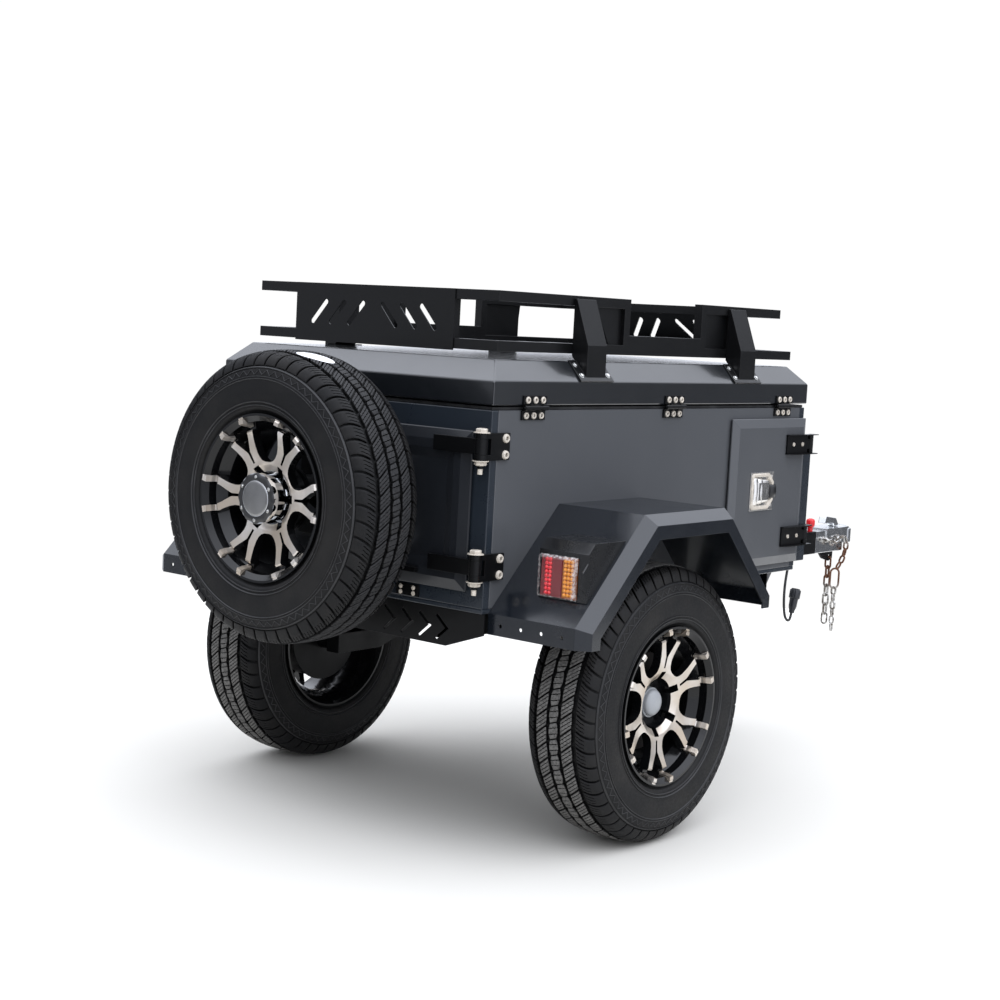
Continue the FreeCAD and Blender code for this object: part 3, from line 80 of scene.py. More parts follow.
class Wire:
    """One output in a material's nodes. Arithmetic on it adds the Math nodes that are needed."""

    def __init__(self, tree, socket):
        self.tree = tree
        self.socket = socket

    def node(self, kind, settings, inputs, output=0):
        """Any other node: its settings first, then values or links for its sockets."""
        made = self.tree.nodes.new(kind)
        for name, value in settings.items():
            setattr(made, name, value)
        for name, value in inputs.items():
            if isinstance(value, Wire):
                self.tree.links.new(value.socket, made.inputs[name])
            else:
                made.inputs[name].default_value = value
        return Wire(self.tree, made.outputs[output])

    def maths(self, operation, *others):
        """A Math node whose first value is this one."""
        return self.node("ShaderNodeMath", {"operation": operation},
                         dict(enumerate((self, *others))))

    def __add__(self, other):
        return self.maths("ADD", other)

    def __sub__(self, other):
        return self.maths("SUBTRACT", other)

    def __rsub__(self, other):
        return self.node("ShaderNodeMath", {"operation": "SUBTRACT"}, {0: other, 1: self})

    def __mul__(self, other):
        return self.maths("MULTIPLY", other)

    def __truediv__(self, other):
        return self.maths("DIVIDE", other)

    def __gt__(self, other):
        return self.maths("GREATER_THAN", other)

    def __lt__(self, other):
        return self.maths("LESS_THAN", other)

    def __abs__(self):
        return self.maths("ABSOLUTE")

    __radd__ = __add__
    __rmul__ = __mul__

    def noise(self, scale, detail=3.0):
        """Noise from 0 to 1 over the piece, scale in lumps a metre."""
        return self.node("ShaderNodeTexNoise", {}, {"Vector": self, "Scale": scale,
                                                    "Detail": detail}, "Fac")

    def ramp(self, low, high):
        """0 below low, 1 above high, straight between."""
        return self.node("ShaderNodeMapRange", {}, {0: self, 1: low, 2: high})

    def blend(self, first, second):
        """Colour that goes from first, where this is 0, to second, where it is 1."""
        colours = {6: first, 7: second}
        return self.node("ShaderNodeMix", {"data_type": "RGBA"}, {0: self, **colours}, 2)

    def bump(self, height, distance, strength=1.0):
        return self.node("ShaderNodeBump", {}, {"Height": height, "Distance": distance,
                                                "Strength": strength})


class Finish:
    """A material with one Principled shader. Even values sit on the shader's own sockets."""

    def __init__(self, name, **even):
        self.material = bpy.data.materials.new(name)
        self.material.use_nodes = True
        self.tree = self.material.node_tree
        self.shader = self.tree.nodes["Principled BSDF"]
        for socket, value in even.items():
            self.shader.inputs[socket.replace("_", " ")].default_value = value
        coordinates = self.tree.nodes.new("ShaderNodeTexCoord")
        self.place = Wire(self.tree, coordinates.outputs["Object"])

    def feed(self, socket, wire):
        self.tree.links.new(wire.socket, self.shader.inputs[socket])

    def axes(self, vector):
        """The three numbers of a vector."""
        split = self.tree.nodes.new("ShaderNodeSeparateXYZ")
        self.tree.links.new(vector.socket, split.inputs[0])
        return [Wire(self.tree, out) for out in split.outputs]


def rubber_finish(name, colour, roughness):
    """Black rubber: a little dust in large patches and a fine moulded grain."""
    made = Finish(name, Specular_IOR_Level=0.35)
    dust = made.place.noise(14.0).ramp(0.45, 0.75)
    dusty = tuple(0.6 * c + 0.03 for c in colour[:3]) + (1,)
    made.feed("Base Color", dust.blend(colour, dusty))
    made.feed("Roughness", roughness + 0.15 * dust)
    made.feed("Normal", made.place.bump(made.place.noise(900.0), 0.0002, 0.4))
    return made.material


cable_rubber = rubber_finish("cable_rubber", (0.018, 0.018, 0.019, 1), 0.5)

cable_curve = bpy.data.curves.new("trailer_cable", "CURVE")
cable_curve.dimensions = "3D"
spline = cable_curve.splines.new("NURBS")
spline.points.add(len(cable_points) - 1)
for point, (x, reach, z) in zip(spline.points, cable_points):
    point.co = (x, axle_y + reach, z, 1)
spline.order_u = 3
spline.use_endpoint_u = True
spline.resolution_u = 12
cable_curve.bevel_depth = cable_radius
cable_curve.bevel_resolution = 4
cable_curve.use_fill_caps = True
cable_curve.materials.append(cable_rubber)
cable = bpy.data.objects.new("trailer_cable", cable_curve)
bpy.context.scene.collection.objects.link(cable)
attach(cable, "chassis")
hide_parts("cable")


# Trailer plug
# A round moulded plug with a grip of long ribs, a screwed collar and a flat nose. It hangs nose
# up at the cable's end and leans forward.
plug_lean = math.radians(14)
plug_profile = [(0, 0), (0.007, 0), (0.0095, 0.002), (0.0105, 0.012), (0.0125, 0.016),
                (0.0142, 0.026), (0.0148, 0.048), (0.0155, 0.052), (0.0185, 0.054),
                (0.019, 0.056), (0.019, 0.082), (0.0182, 0.0845), (0.0150, 0.085),
                (0.0150, 0.088), (0.0138, 0.0885), (0.0132, 0.083), (0, 0.083)]
plug_ribs = 14
plug_steps = 6 * plug_ribs
ribbed_rows = slice(9, 11)


def turned(profile, centre, axis, steps):
    """Grid of a (radius, distance along the axis) profile turned once about an axis."""
    profile = np.asarray(profile, float)
    angle = np.linspace(0, 2 * math.pi, steps + 1)[:, None]
    radius, along = profile[None, :, 0], profile[None, :, 1]
    first, second = radius * np.cos(angle), radius * np.sin(angle)
    along = along + 0 * angle
    parts = {"x": (along, first, second), "y": (first, along, second),
             "z": (first, second, along)}[axis]
    return np.stack(parts, -1) + np.asarray(centre, float)


def grids_to_mesh(name, grids):
    """One mesh from arrays shaped (rows, columns, 3) or (copies, rows, columns, 3), their seams
    and poles merged."""
    points, faces = [], []
    start = 0
    for grid in grids:
        grid = grid if grid.ndim == 4 else grid[None]
        copies, rows, columns = grid.shape[:3]
        number = start + np.arange(copies * rows * columns).reshape(copies, rows, columns)
        quads = np.stack((number[:, :-1, :-1], number[:, 1:, :-1], number[:, 1:, 1:],
                          number[:, :-1, 1:]), -1).reshape(-1, 4)
        points.append(grid.reshape(-1, 3))
        faces.append(quads)
        start += copies * rows * columns
    points, faces = np.concatenate(points), np.concatenate(faces)
    mesh = bpy.data.meshes.new(name)
    mesh.from_pydata(points.tolist(), [], faces.tolist())
    work = bmesh.new()
    work.from_mesh(mesh)
    bmesh.ops.remove_doubles(work, verts=work.verts, dist=2e-6)
    bmesh.ops.recalc_face_normals(work, faces=work.faces)
    work.to_mesh(mesh)
    work.free()
    return mesh


def add_piece(name, grids, material, body, smooth_angle):
    """The grids as one piece that rides on a body, smooth except over sharper edges."""
    mesh = grids_to_mesh(name, grids)
    mesh.materials.append(material)
    mesh.shade_smooth()
    mesh.set_sharp_from_angle(angle=math.radians(smooth_angle))
    made = bpy.data.objects.new(name, mesh)
    bpy.context.scene.collection.objects.link(made)
    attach(made, body)
    return made


def plastic_finish(name, colour, roughness):
    """Moulded plastic: even colour with faint scuffs and a fine spark-eroded grain."""
    made = Finish(name)
    scuff = made.place.noise(60.0, 6.0).ramp(0.55, 0.8)
    lighter = tuple(min(1.0, c * 1.5 + 0.01) for c in colour[:3]) + (1,)
    made.feed("Base Color", scuff.blend(colour, lighter))
    made.feed("Roughness", roughness + 0.12 * scuff)
    made.feed("Normal", made.place.bump(made.place.noise(500.0), 0.0002, 0.5))
    return made.material


plug_plastic = plastic_finish("plug_plastic", (0.008, 0.009, 0.012, 1), 0.35)
plug_grid = turned(plug_profile, (0, 0, 0), "z", plug_steps)
ridge = 1 + 0.03 * np.cos(np.linspace(0, 2 * math.pi * plug_ribs, plug_steps + 1))[:, None, None]
plug_grid[:, ribbed_rows, :2] *= ridge
lean = np.array(Matrix.Rotation(-plug_lean, 3, "X"))
plug_grid = plug_grid @ lean.T + np.add(cable_points[-1], (0, axle_y, 0))
plug = add_piece("trailer_plug", [plug_grid], plug_plastic, "chassis", 40)
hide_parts("plug")


# Floor and light
# A plain pale round floor and soft studio light: bright overhead, a wide dim wall of light on the
# right and two low glows on the left. The backdrop is plain white.
floor_reach = 3.4
floor_corners = 96
around = np.arange(floor_corners) * 2 * math.pi / floor_corners
floor_mesh = bpy.data.meshes.new("floor")
floor_mesh.from_pydata(np.stack((floor_reach * np.cos(around), floor_reach * np.sin(around),
                                 0 * around), -1).tolist(), [], [list(range(floor_corners))])
floor_finish = Finish("floor", Roughness=0.9, Specular_IOR_Level=0.1)
floor_finish.feed("Base Color", floor_finish.place.noise(0.4).blend((0.64, 0.62, 0.57, 1),
                                                                    (0.66, 0.64, 0.59, 1)))
floor_mesh.materials.append(floor_finish.material)
floor = bpy.data.objects.new("floor", floor_mesh)
bpy.context.scene.collection.objects.link(floor)

horizon_light = 0.14
overhead_light = 2.5
wall_light = 1.35
wall_direction = (0.95, -0.22, 0.20)
glow_light = 0.9
glow_direction = (-0.62, 0.78, 0.10)
rear_glow_light = 0.40
rear_glow_direction = (-0.62, -0.78, -0.02)
sky_tint = (0.94, 0.98, 1.08, 1)
world = bpy.data.worlds.new("studio")
world.use_nodes = True
world_tree = world.node_tree
sky_place = Wire(world_tree, world_tree.nodes.new("ShaderNodeTexCoord").outputs["Generated"])


def towards(direction, low, high):
    """0 to 1 as the sky nears a direction: the dot product of the two, ramped low to high."""
    nearness = sky_place.node("ShaderNodeVectorMath", {"operation": "DOT_PRODUCT"},
                              {0: sky_place, 1: direction}, "Value")
    return nearness.ramp(low, high)


strength = (horizon_light + overhead_light * towards((0, 0, 1), 0.25, 0.80)
            + wall_light * towards(wall_direction, 0.35, 1.0)
            + glow_light * towards(glow_direction, 0.85, 0.98)
            + rear_glow_light * towards(rear_glow_direction, 0.85, 0.98))
seen = Wire(world_tree, world_tree.nodes.new("ShaderNodeLightPath").outputs["Is Camera Ray"])
backdrop = seen.node("ShaderNodeMix", {"data_type": "FLOAT"}, {0: seen, 2: strength, 3: 1.02})
tint = seen.blend(sky_tint, (1, 1, 1, 1))
world_tree.links.new(tint.socket, world_tree.nodes["Background"].inputs["Color"])
world_tree.links.new(backdrop.socket, world_tree.nodes["Background"].inputs["Strength"])
bpy.context.scene.world = world
bpy.context.scene.view_settings.view_transform = "Standard"


# Tyres
# Three all-terrain tyres, each moulded rubber: a casing with fine rings and a zigzag band on the
# sidewall, two rows of wide shoulder lugs and three rows of smaller blocks, all cut by sipes.
tyre_low, tyre_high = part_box("tyre_right")
tyre_radius = (tyre_high.z - tyre_low.z) / 2
lugs_round = 54
casing_steps = 240
groove_depth = 0.0090
step_depth = 0.0026
shoulder_start = 0.088
shoulder_run = 0.030
block_root = 0.001
sipe_half = 0.036
sipe_floor = 0.30
tread_points = [(0, 0), (0.0007, 0.030), (0.0022, 0.050), (0.0063, 0.070), (0.0134, 0.0845),
                (0.0262, 0.0945), (0.0425, 0.1005)]
sidewall_points = [(0.3192, 0.0996), (0.3184, 0.1018), (0.3166, 0.1024), (0.3156, 0.1012),
                   (0.3110, 0.1034), (0.2990, 0.1058), (0.2930, 0.1067), (0.2922, 0.1082),
                   (0.2906, 0.1084), (0.2896, 0.1072), (0.2850, 0.1078),
                   (0.2630, 0.1090), (0.2450, 0.1084), (0.2370, 0.1074), (0.2360, 0.1090),
                   (0.2342, 0.1090), (0.2332, 0.1070), (0.2290, 0.1063), (0.2280, 0.1078),
                   (0.2262, 0.1078), (0.2252, 0.1058), (0.2200, 0.1044), (0.2165, 0.1012),
                   (0.2135, 0.0975), (0.2085, 0.0955), (0.2075, 0.0925), (0.1950, 0.0905)]


def flowing(points, steps):
    """Smooth line through points: Catmull-Rom pieces, each cut into equal steps."""
    points = np.asarray(points, float)
    ends = np.vstack((2 * points[0] - points[1], points, 2 * points[-1] - points[-2]))
    t = np.linspace(0, 1, steps, endpoint=False)[None, :, None]
    a, b, c, d = (ends[i:len(ends) - 3 + i, None] for i in range(4))
    line = 0.5 * (2 * b + (c - a) * t + (2 * a - 5 * b + 4 * c - d) * t ** 2
                  + (3 * b - a - 3 * c + d) * t ** 3)
    return np.vstack((line.reshape(-1, points.shape[1]), points[-1]))


tread_line = flowing(tread_points, 8) * (-1, 1) + (tyre_radius, 0)
tread_arc = np.concatenate(([0], np.cumsum(np.hypot(*np.diff(tread_line, axis=0).T))))
tread_slope = np.gradient(tread_line, tread_arc, axis=0)


def wheel_place(radius, along, angle, centre, axis):
    """Points of a wheel from radius, distance out along its axle, and angle."""
    across, up = radius * np.cos(angle), radius * np.sin(angle)
    if axis == "x":
        parts = (centre[0] + along, centre[1] - across, centre[2] + up)
    else:
        parts = (centre[0] + across, centre[1] + along, centre[2] + up)
    return np.stack(np.broadcast_arrays(*parts), -1)


def tread_surface(across, depth):
    """(radius, distance out) a depth below the tread, at a distance across it from the crown
    measured along the surface: the point on the tread line less depth times its normal."""
    side = np.abs(across)
    radius = np.interp(side, tread_arc, tread_line[:, 0])
    along = np.interp(side, tread_arc, tread_line[:, 1])
    radius = radius - depth * np.interp(side, tread_arc, tread_slope[:, 1])
    along = along + depth * np.interp(side, tread_arc, tread_slope[:, 0])
    return radius, np.sign(across) * along


def groove_at(across):
    """Groove depth at a distance from the crown: full, then less and less over the shoulder."""
    share = np.clip((np.abs(across) - shoulder_start) / shoulder_run, 0, 1)
    return groove_depth - (groove_depth - step_depth) * share


def tread_row(inner, outer, slant, bow, taper, columns, phase, gap, sipes, centre, axis):
    """One row of blocks round a tyre. Each block is a grid with steep walls and a top crossed by
    wavy sipes; its ends follow a slanted line, bowed at the inner end, and it narrows to them."""
    u = np.concatenate(([0, 0.0, 0.04], np.linspace(0.12, 0.88, columns), [0.96, 1.0, 1]))
    wall_u = np.array([0, 0.92] + [1.0] * (columns + 2) + [0.92, 0])
    middles = (np.arange(sipes) + 0.75) / (sipes + 0.5)
    v, top, cut = [0, 0.0, 0.03], [0, 0.92, 1.0], [0, 0, 0]
    for middle in middles:
        v += [middle - sipe_half, middle - 0.4 * sipe_half, middle + 0.4 * sipe_half,
              middle + sipe_half]
        top += [1.0] * 4
        cut += [0, 1, 1, 0]
    v, top, cut = (np.array(part + end, float) for part, end in
                   ((v, [0.97, 1.0, 1]), (top, [1.0, 0.92, 0]), (cut, [0, 0, 0])))
    narrow = 1 - taper * np.abs(2 * v[None, :] - 1) ** 1.5
    across = (inner + outer) / 2 + (outer - inner) * (u[:, None] - 0.5) * narrow
    on_crown = np.abs(across) < shoulder_start
    rise = np.minimum(wall_u[:, None], top[None, :])
    rise = np.minimum(rise, 1 - (1 - sipe_floor) * cut[None, :] * on_crown)
    wave = 0.018 * (2 * (np.arange(len(u)) % 2) - 1)[:, None] * np.clip(v * (1 - v) * 12, 0, 1)
    bent = slant * (u - 0.5) + bow * (1 - u) ** 2
    local = bent[:, None] + gap / 2 + (v[None, :] + wave) * (1 - gap) + phase
    angle = (np.arange(lugs_round)[:, None, None] + local[None]) * (2 * math.pi / lugs_round)
    radius, along = tread_surface(across, (groove_at(across) + block_root) * (1 - rise))
    return wheel_place(radius[None], along[None], angle, centre, axis)


def raised_line(side, centre, axis, middle, swing, teeth, lift):
    """A low raised line round the sidewall, plain or zigzag between two radii."""
    steps = 2 * teeth if swing else casing_steps
    angle = np.arange(steps + 1)[:, None] * 2 * math.pi / steps
    sway = np.where(np.arange(steps + 1) % 2, swing, -swing)[:, None]
    radius = middle + sway + np.array([[-0.0017, -0.0008, 0.0008, 0.0017]])
    known = np.array(sidewall_points)[::-1]
    along = (np.interp(radius, known[:, 0], known[:, 1])
             + np.array([[-0.001, lift, lift, -0.001]]))
    return wheel_place(radius, side * along, angle, centre, axis)


def tyre_grids(centre, axis):
    """Casing and tread rows: half a section, mirrored, closed by the liner and turned once."""
    reach = np.linspace(0, tread_arc[-1], 22)
    outer = np.stack(tread_surface(reach, groove_at(reach)), -1)
    half = np.vstack((outer, flowing(sidewall_points, 2)))[::-1]
    bead = half[0]
    profile = np.vstack((half, (half * (1, -1))[-2::-1]))
    profile = np.vstack((profile, [(bead[0] + 0.004, -0.080), (0.328, -0.083), (0.338, -0.060),
                                   (0.338, 0.060), (0.328, 0.083), (bead[0] + 0.004, 0.080),
                                   profile[0]]))
    angle = np.linspace(0, 2 * math.pi, casing_steps + 1)[:, None]
    casing = wheel_place(profile[None, :, 0], profile[None, :, 1], angle, centre, axis)
    rows = [(0.0655, 0.1165, -0.02, 0.50, 0.00, 8, 0.00, 0.16, 3),
            (0.0215, 0.0540, 0.55, 0.00, 0.08, 6, 0.30, 0.15, 3),
            (-0.0140, 0.0140, 0.14, 0.00, 0.34, 5, 0.75, 0.09, 2),
            (-0.0215, -0.0540, -0.55, 0.00, 0.08, 6, 0.20, 0.15, 3),
            (-0.0655, -0.1165, 0.02, -0.50, 0.00, 8, 0.50, 0.16, 3)]
    return [casing] + [tread_row(*row, centre, axis) for row in rows]


def wheel_axes(made, centre, axis):
    """Distances out along a wheel's axle, across it and up from it, and the radius they give."""
    x, y, z = made.axes(made.place)
    if axis == "x":
        along, across = x - centre[0], centre[1] - y
    else:
        along, across = y - centre[1], x - centre[0]
    up = z - centre[2]
    return along, across, up, (across * across + up * up).maths("SQRT")


def tread_finish(name, centre, axis, scuff):
    """Tyre rubber: near black with a matt grain and grey-brown dust in large patches, painted
    shade that turns it near black in the grooves, and scuffed to a grey on the tops of the crown's
    blocks."""
    made = Finish(name, Specular_IOR_Level=0.20)
    along, _, _, radius = wheel_axes(made, centre, axis)
    along = abs(along)
    dust = made.place.noise(9.0, 5.0).ramp(0.42, 0.78)
    worn = made.place.noise(160.0, 4.0).ramp(0.35, 0.8)
    drop = 0.75 * along * along + 3.36e6 * along.maths("POWER", 8)
    above = radius - tyre_radius + drop
    scuffed = above.ramp(-0.0028, -0.0010) * (1 - along.ramp(0.056, 0.066)) * (0.35 + 0.65 * worn)
    # painted shade: the base colour goes near black a few millimetres below the tread, inside the
    # tread's width
    painted_groove_shade = (1 - above.ramp(-0.0070, -0.0030)) * (1 - along.ramp(0.0975, 0.1005))
    clean = worn.blend((0.0060, 0.0060, 0.0066, 1), (0.0110, 0.0110, 0.0112, 1))
    dusty = (dust * 0.5).blend(clean, (0.026, 0.0238, 0.0212, 1))
    groove_shaded = painted_groove_shade.blend(dusty, (0.0008, 0.0008, 0.0009, 1))
    made.feed("Base Color", scuffed.blend(groove_shaded, scuff))
    made.feed("Roughness", 0.52 + 0.26 * worn)
    made.feed("Normal", made.place.bump(made.place.noise(1400.0, 2.0), 0.0003, 0.6))
    return made.material


wheels = {"right": ("wheel_right", "x", 1), "left": ("wheel_left", "x", -1),
          "spare": ("rear_door", "y", -1)}
road_scuff = (0.200, 0.194, 0.184, 1)
spare_scuff = (0.036, 0.036, 0.037, 1)
raised_rubber = rubber_finish("raised_rubber", (0.022, 0.022, 0.023, 1), 0.55)
sidewall_lines = [(0.3070, 0.0062, 72, 0.0017), (0.2965, 0, 0, 0.0012), (0.3190, 0, 0, 0.0012),
                  (0.2905, 0, 0, 0.0008), (0.2345, 0, 0, 0.0010), (0.2268, 0, 0, 0.0010)]
wheel_centres = {}
for side, (body, axis, outward) in wheels.items():
    low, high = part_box("tyre_" + side)
    centre = wheel_centres[side] = tuple((low + high) / 2)
    rubber = tread_finish("tyre_rubber_" + side, centre, axis,
                          road_scuff if axis == "x" else spare_scuff)
    tyre = add_piece("treaded_tyre_" + side, tyre_grids(centre, axis), rubber, body, 38)
    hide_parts("tyre_" + side)
    lines = [raised_line(face, centre, axis, *line) for face in (1, -1) for line in sidewall_lines]
    add_piece("sidewall_lines_" + side, lines, raised_rubber, body, 60)


# Rims
# Cast alloy rims, black all over, with the faces of the spokes and of the lip tabs machined
# bright. The spare has a chromed, fluted cap, the road wheels a plain grey one.
rim_half = 0.104
spoke_face = rim_half - 0.033
spoke_turns = {"right": -5, "left": -5, "spare": 28}
fork_angle = math.radians(11.4)


def dress(nodes, material, edge, angle=30):
    """Nodes of the solid model with their finish, their edges rounded by modifiers: doubles are
    welded, flat faces joined, and the sharp edges bevelled."""
    for node in nodes.split():
        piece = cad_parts[node]
        piece.data.materials.clear()
        piece.data.materials.append(material)
        weld = piece.modifiers.new("weld", "WELD")
        weld.merge_threshold = 1e-5
        flat = piece.modifiers.new("flat", "DECIMATE")
        flat.decimate_type = "DISSOLVE"
        flat.angle_limit = math.radians(1)
        bevel = piece.modifiers.new("edges", "BEVEL")
        bevel.width = edge
        bevel.segments = 2
        bevel.limit_method = "ANGLE"
        bevel.angle_limit = math.radians(angle)
        bevel.harden_normals = True
        bevel.use_clamp_overlap = True
        shine = piece.modifiers.new("shading", "WEIGHTED_NORMAL")
        shine.keep_sharp = True
        shine.weight = 100


def rim_finish(side):
    """Black cast alloy with machined faces and a cap, told apart by the radius, by the distance
    out along the axle, and by the angle from the middle of a spoke."""
    axis, outward = wheels[side][1:]
    crowned = side == "spare"
    made = Finish("rim_" + side, Coat_Weight=0.12, Coat_Roughness=0.08, Specular_IOR_Level=0.3)
    along, across, up, radius = wheel_axes(made, wheel_centres[side], axis)
    along = along * outward
    geometry = made.tree.nodes.new("ShaderNodeNewGeometry")
    normal = made.axes(Wire(made.tree, geometry.outputs["Normal"]))
    facing = normal[0 if axis == "x" else 1] * outward
    turn = across.maths("ARCTAN2", up) - math.radians(spoke_turns[side] - 390)
    sixth = math.pi / 3
    from_spoke = abs((turn / sixth).maths("FRACT") * sixth - sixth / 2)
    beside = abs(from_spoke - fork_angle) * radius
    tab = (beside < 0.0078) * (radius > 0.172) * (radius < 0.2035) * (along > spoke_face + 0.001)
    spoke = (facing > 0.30) * (radius > 0.0625) * (radius < 0.1725) * (along > spoke_face - 0.018)
    bright = (spoke + tab).maths("MINIMUM", 1.0)
    cap = (radius < (0.0624 if crowned else 0.0394)) * (along > rim_half - 0.078)
    swirl = made.place.noise(35.0, 5.0)
    # painted sheen: whiter patches on the machined faces stand for brighter reflections
    painted_sheen = made.place.noise(9.0, 1.0).ramp(0.35, 0.65)
    silver = swirl.blend((0.52, 0.45, 0.37, 1), painted_sheen.blend((0.58, 0.50, 0.41, 1),
                                                            (0.86, 0.84, 0.82, 1)))
    cap_tone = (0.78, 0.79, 0.80, 1) if crowned else (0.30, 0.31, 0.32, 1)
    made.feed("Base Color", cap.blend(bright.blend((0.0035, 0.0036, 0.0040, 1), silver), cap_tone))
    shine, cap_shine = (0.70, 1.0) if crowned else (0.88, 0.0)
    made.feed("Metallic", (bright * (1 - cap) * shine).maths("MAXIMUM", cap * cap_shine))
    cap_rough = 0.06 if crowned else 0.38
    made.feed("Roughness", (0.14 + 0.16 * bright + 0.06 * swirl) * (1 - cap) + cap_rough * cap)
    turned_lines = (radius * 2200.0).maths("SINE")
    swell = made.place.noise(16.0, 0.0) * bright * 260.0
    made.feed("Normal", made.place.bump(turned_lines * spoke + swell, 0.00005, 0.8))
    return made.material


for side in wheels:
    dress("rim_" + side, rim_finish(side), 0.0012, 28)


# Hub details
# A plain satin disc in a dark scalloped ring on the end of the spare's cap, held by six small
# screws, and a rubber valve in the barrel of each rim.
cap_disc_radius = 0.0435
cap_proud = 0.008
hub_screws = 6


def steel_finish(name, colour, roughness):
    """Bare or plated steel: metal with cloudy tone and a fine grain."""
    made = Finish(name, Metallic=1.0)
    cloud = made.place.noise(45.0, 5.0)
    darker = tuple(c * 0.72 for c in colour[:3]) + (1,)
    made.feed("Base Color", cloud.blend(darker, colour))
    made.feed("Roughness", roughness + 0.18 * cloud)
    made.feed("Normal", made.place.bump(made.place.noise(700.0), 0.0001, 0.25))
    return made.material


def set_out(r, z, angle, places, outward):
    """Copies of a small round shape, one at each place: made about +Z from its radii, heights
    and angles, then turned to face outward."""
    angle = angle[:, None]
    local = np.stack(np.broadcast_arrays(r * np.cos(angle), r * np.sin(angle), z), -1)
    turn = np.array(Vector((0, 0, 1)).rotation_difference(Vector(outward)).to_matrix())
    return (local @ turn.T)[None] + np.asarray(places, float)[:, None, None, :]


def bolt_heads(places, outward, radius, height, sides=6):
    """Bolt heads on their washers, all turned the same way: each is a low washer, then a head
    whose radius follows a polygon, or a circle for no sides, with a chamfer and a slight dome."""
    steps = sides * 4 if sides else 16
    angle = np.linspace(0, 2 * math.pi, steps + 1)
    if sides:
        wedge = math.pi / sides
        polygon = math.cos(wedge) / np.cos((angle % (2 * wedge)) - wedge)
    else:
        polygon = np.ones(steps + 1)
    rings = [(1.45, 0, 0), (1.45, 0.16, 0), (1.35, 0.22, 0), (1.08, 0.22, 1), (1.08, 0.85, 1),
             (0.92, 1.0, 0.5), (0.5, 1.06, 0), (0, 1.08, 0)]
    r, z, share = np.array(rings).T
    r = r * radius * (1 - share + share * polygon[:, None])
    return set_out(r, z * height, angle, places, outward)


satin_grey = steel_finish("satin_grey", (0.34, 0.34, 0.34, 1), 0.30)
dark_ring = plastic_finish("dark_ring", (0.020, 0.020, 0.021, 1), 0.32)
valve_rubber = rubber_finish("valve_rubber", (0.012, 0.012, 0.012, 1), 0.5)
zinc = steel_finish("zinc_bolts", (0.72, 0.72, 0.70, 1), 0.18)
body, axis, outward = wheels["spare"]
centre = np.array(wheel_centres["spare"])
disc = [(0, 0.0024), (cap_disc_radius - 0.006, 0.0021), (cap_disc_radius - 0.002, 0.0012),
        (cap_disc_radius - 0.0005, 0), (cap_disc_radius, -0.004)]
grid = turned([(r, (rim_half + cap_proud + a) * outward) for r, a in disc], centre, axis, 64)
add_piece("cap_disc", [grid], satin_grey, body, 40)
ring = [(0.0445, -0.003), (0.0455, 0.0008), (0.0480, 0.0014), (0.0575, 0.0004), (0.0605, -0.0018),
        (0.0612, -0.006)]
grid = turned([(r, (rim_half + cap_proud + a) * outward) for r, a in ring], centre, axis, 192)
scallop = 1 + 0.028 * np.cos(12 * np.linspace(0, 2 * math.pi, 193))[:, None, None]
grid[:, 3:] = centre + (grid[:, 3:] - centre) * np.where(np.array([1, 0, 1]), scallop, 1)
add_piece("cap_ring", [grid], dark_ring, body, 40)
angles = (np.arange(hub_screws) + 0.5) * 2 * math.pi / hub_screws
places = wheel_place(0.0525, (rim_half + cap_proud + 0.0006) * outward, angles, centre, axis)
screws = bolt_heads(places, (0, outward, 0), 0.0034, 0.0026)
add_piece("cap_screws", [screws], zinc, body, 40)
for side, (body, axis, outward) in wheels.items():
    centre = np.array(wheel_centres[side])
    place = wheel_place(0.1795, 0, math.radians(250 if side == "spare" else 300), centre, axis)
    stem = [(0, 0.004), (0.0075, 0.002), (0.0085, 0.0), (0.0080, 0.010), (0.0055, 0.014),
            (0.0045, 0.030), (0.0045, 0.038), (0.0038, 0.040), (0, 0.040)]
    grid = turned([(r, (spoke_face - 0.045 + a) * outward) for r, a in stem], place, axis, 20)
    add_piece("valve_" + side, [grid], valve_rubber, body, 50)


# Paint
# Two-part paint over folded sheet: slate blue-grey on the tub, doors and fenders, and black on
# the lid, the frame and the rack. The sheet waves very slightly and dust dulls it low down.
def paint_finish(name, colour, roughness, coat, gloss=0.4, texture=0.0):
    """Paint on sheet metal: slow waves, orange peel, and thin dust that thickens low down."""
    made = Finish(name, Coat_Weight=coat, Coat_Roughness=0.12, Specular_IOR_Level=gloss)
    z = made.axes(made.place)[2]
    cloud = made.place.noise(3.0, 4.0)
    speck = made.place.noise(260.0, 6.0)
    low = 1 - (z + 0.12 * cloud).ramp(0.55, 0.95)
    dirt = (low * 0.7 + 0.3) * (made.place.noise(11.0, 7.0) + 0.35 * speck).ramp(0.55, 1.0)
    dull = tuple(0.9 * c + 0.006 for c in colour[:3]) + (1,)
    darker = tuple(0.88 * c for c in colour[:3]) + (1,)
    made.feed("Base Color", (dirt * 0.25).blend(cloud.blend(darker, colour), dull))
    made.feed("Roughness", roughness + 0.22 * dirt + 0.05 * cloud)
    peel = made.place.noise(900.0 if texture else 420.0, 2.0) * (0.15 + texture)
    made.feed("Normal", made.place.bump(made.place.noise(5.0, 1.0) * 3.0 + peel, 0.0003,
                                        0.35 + 0.5 * texture))
    return made.material


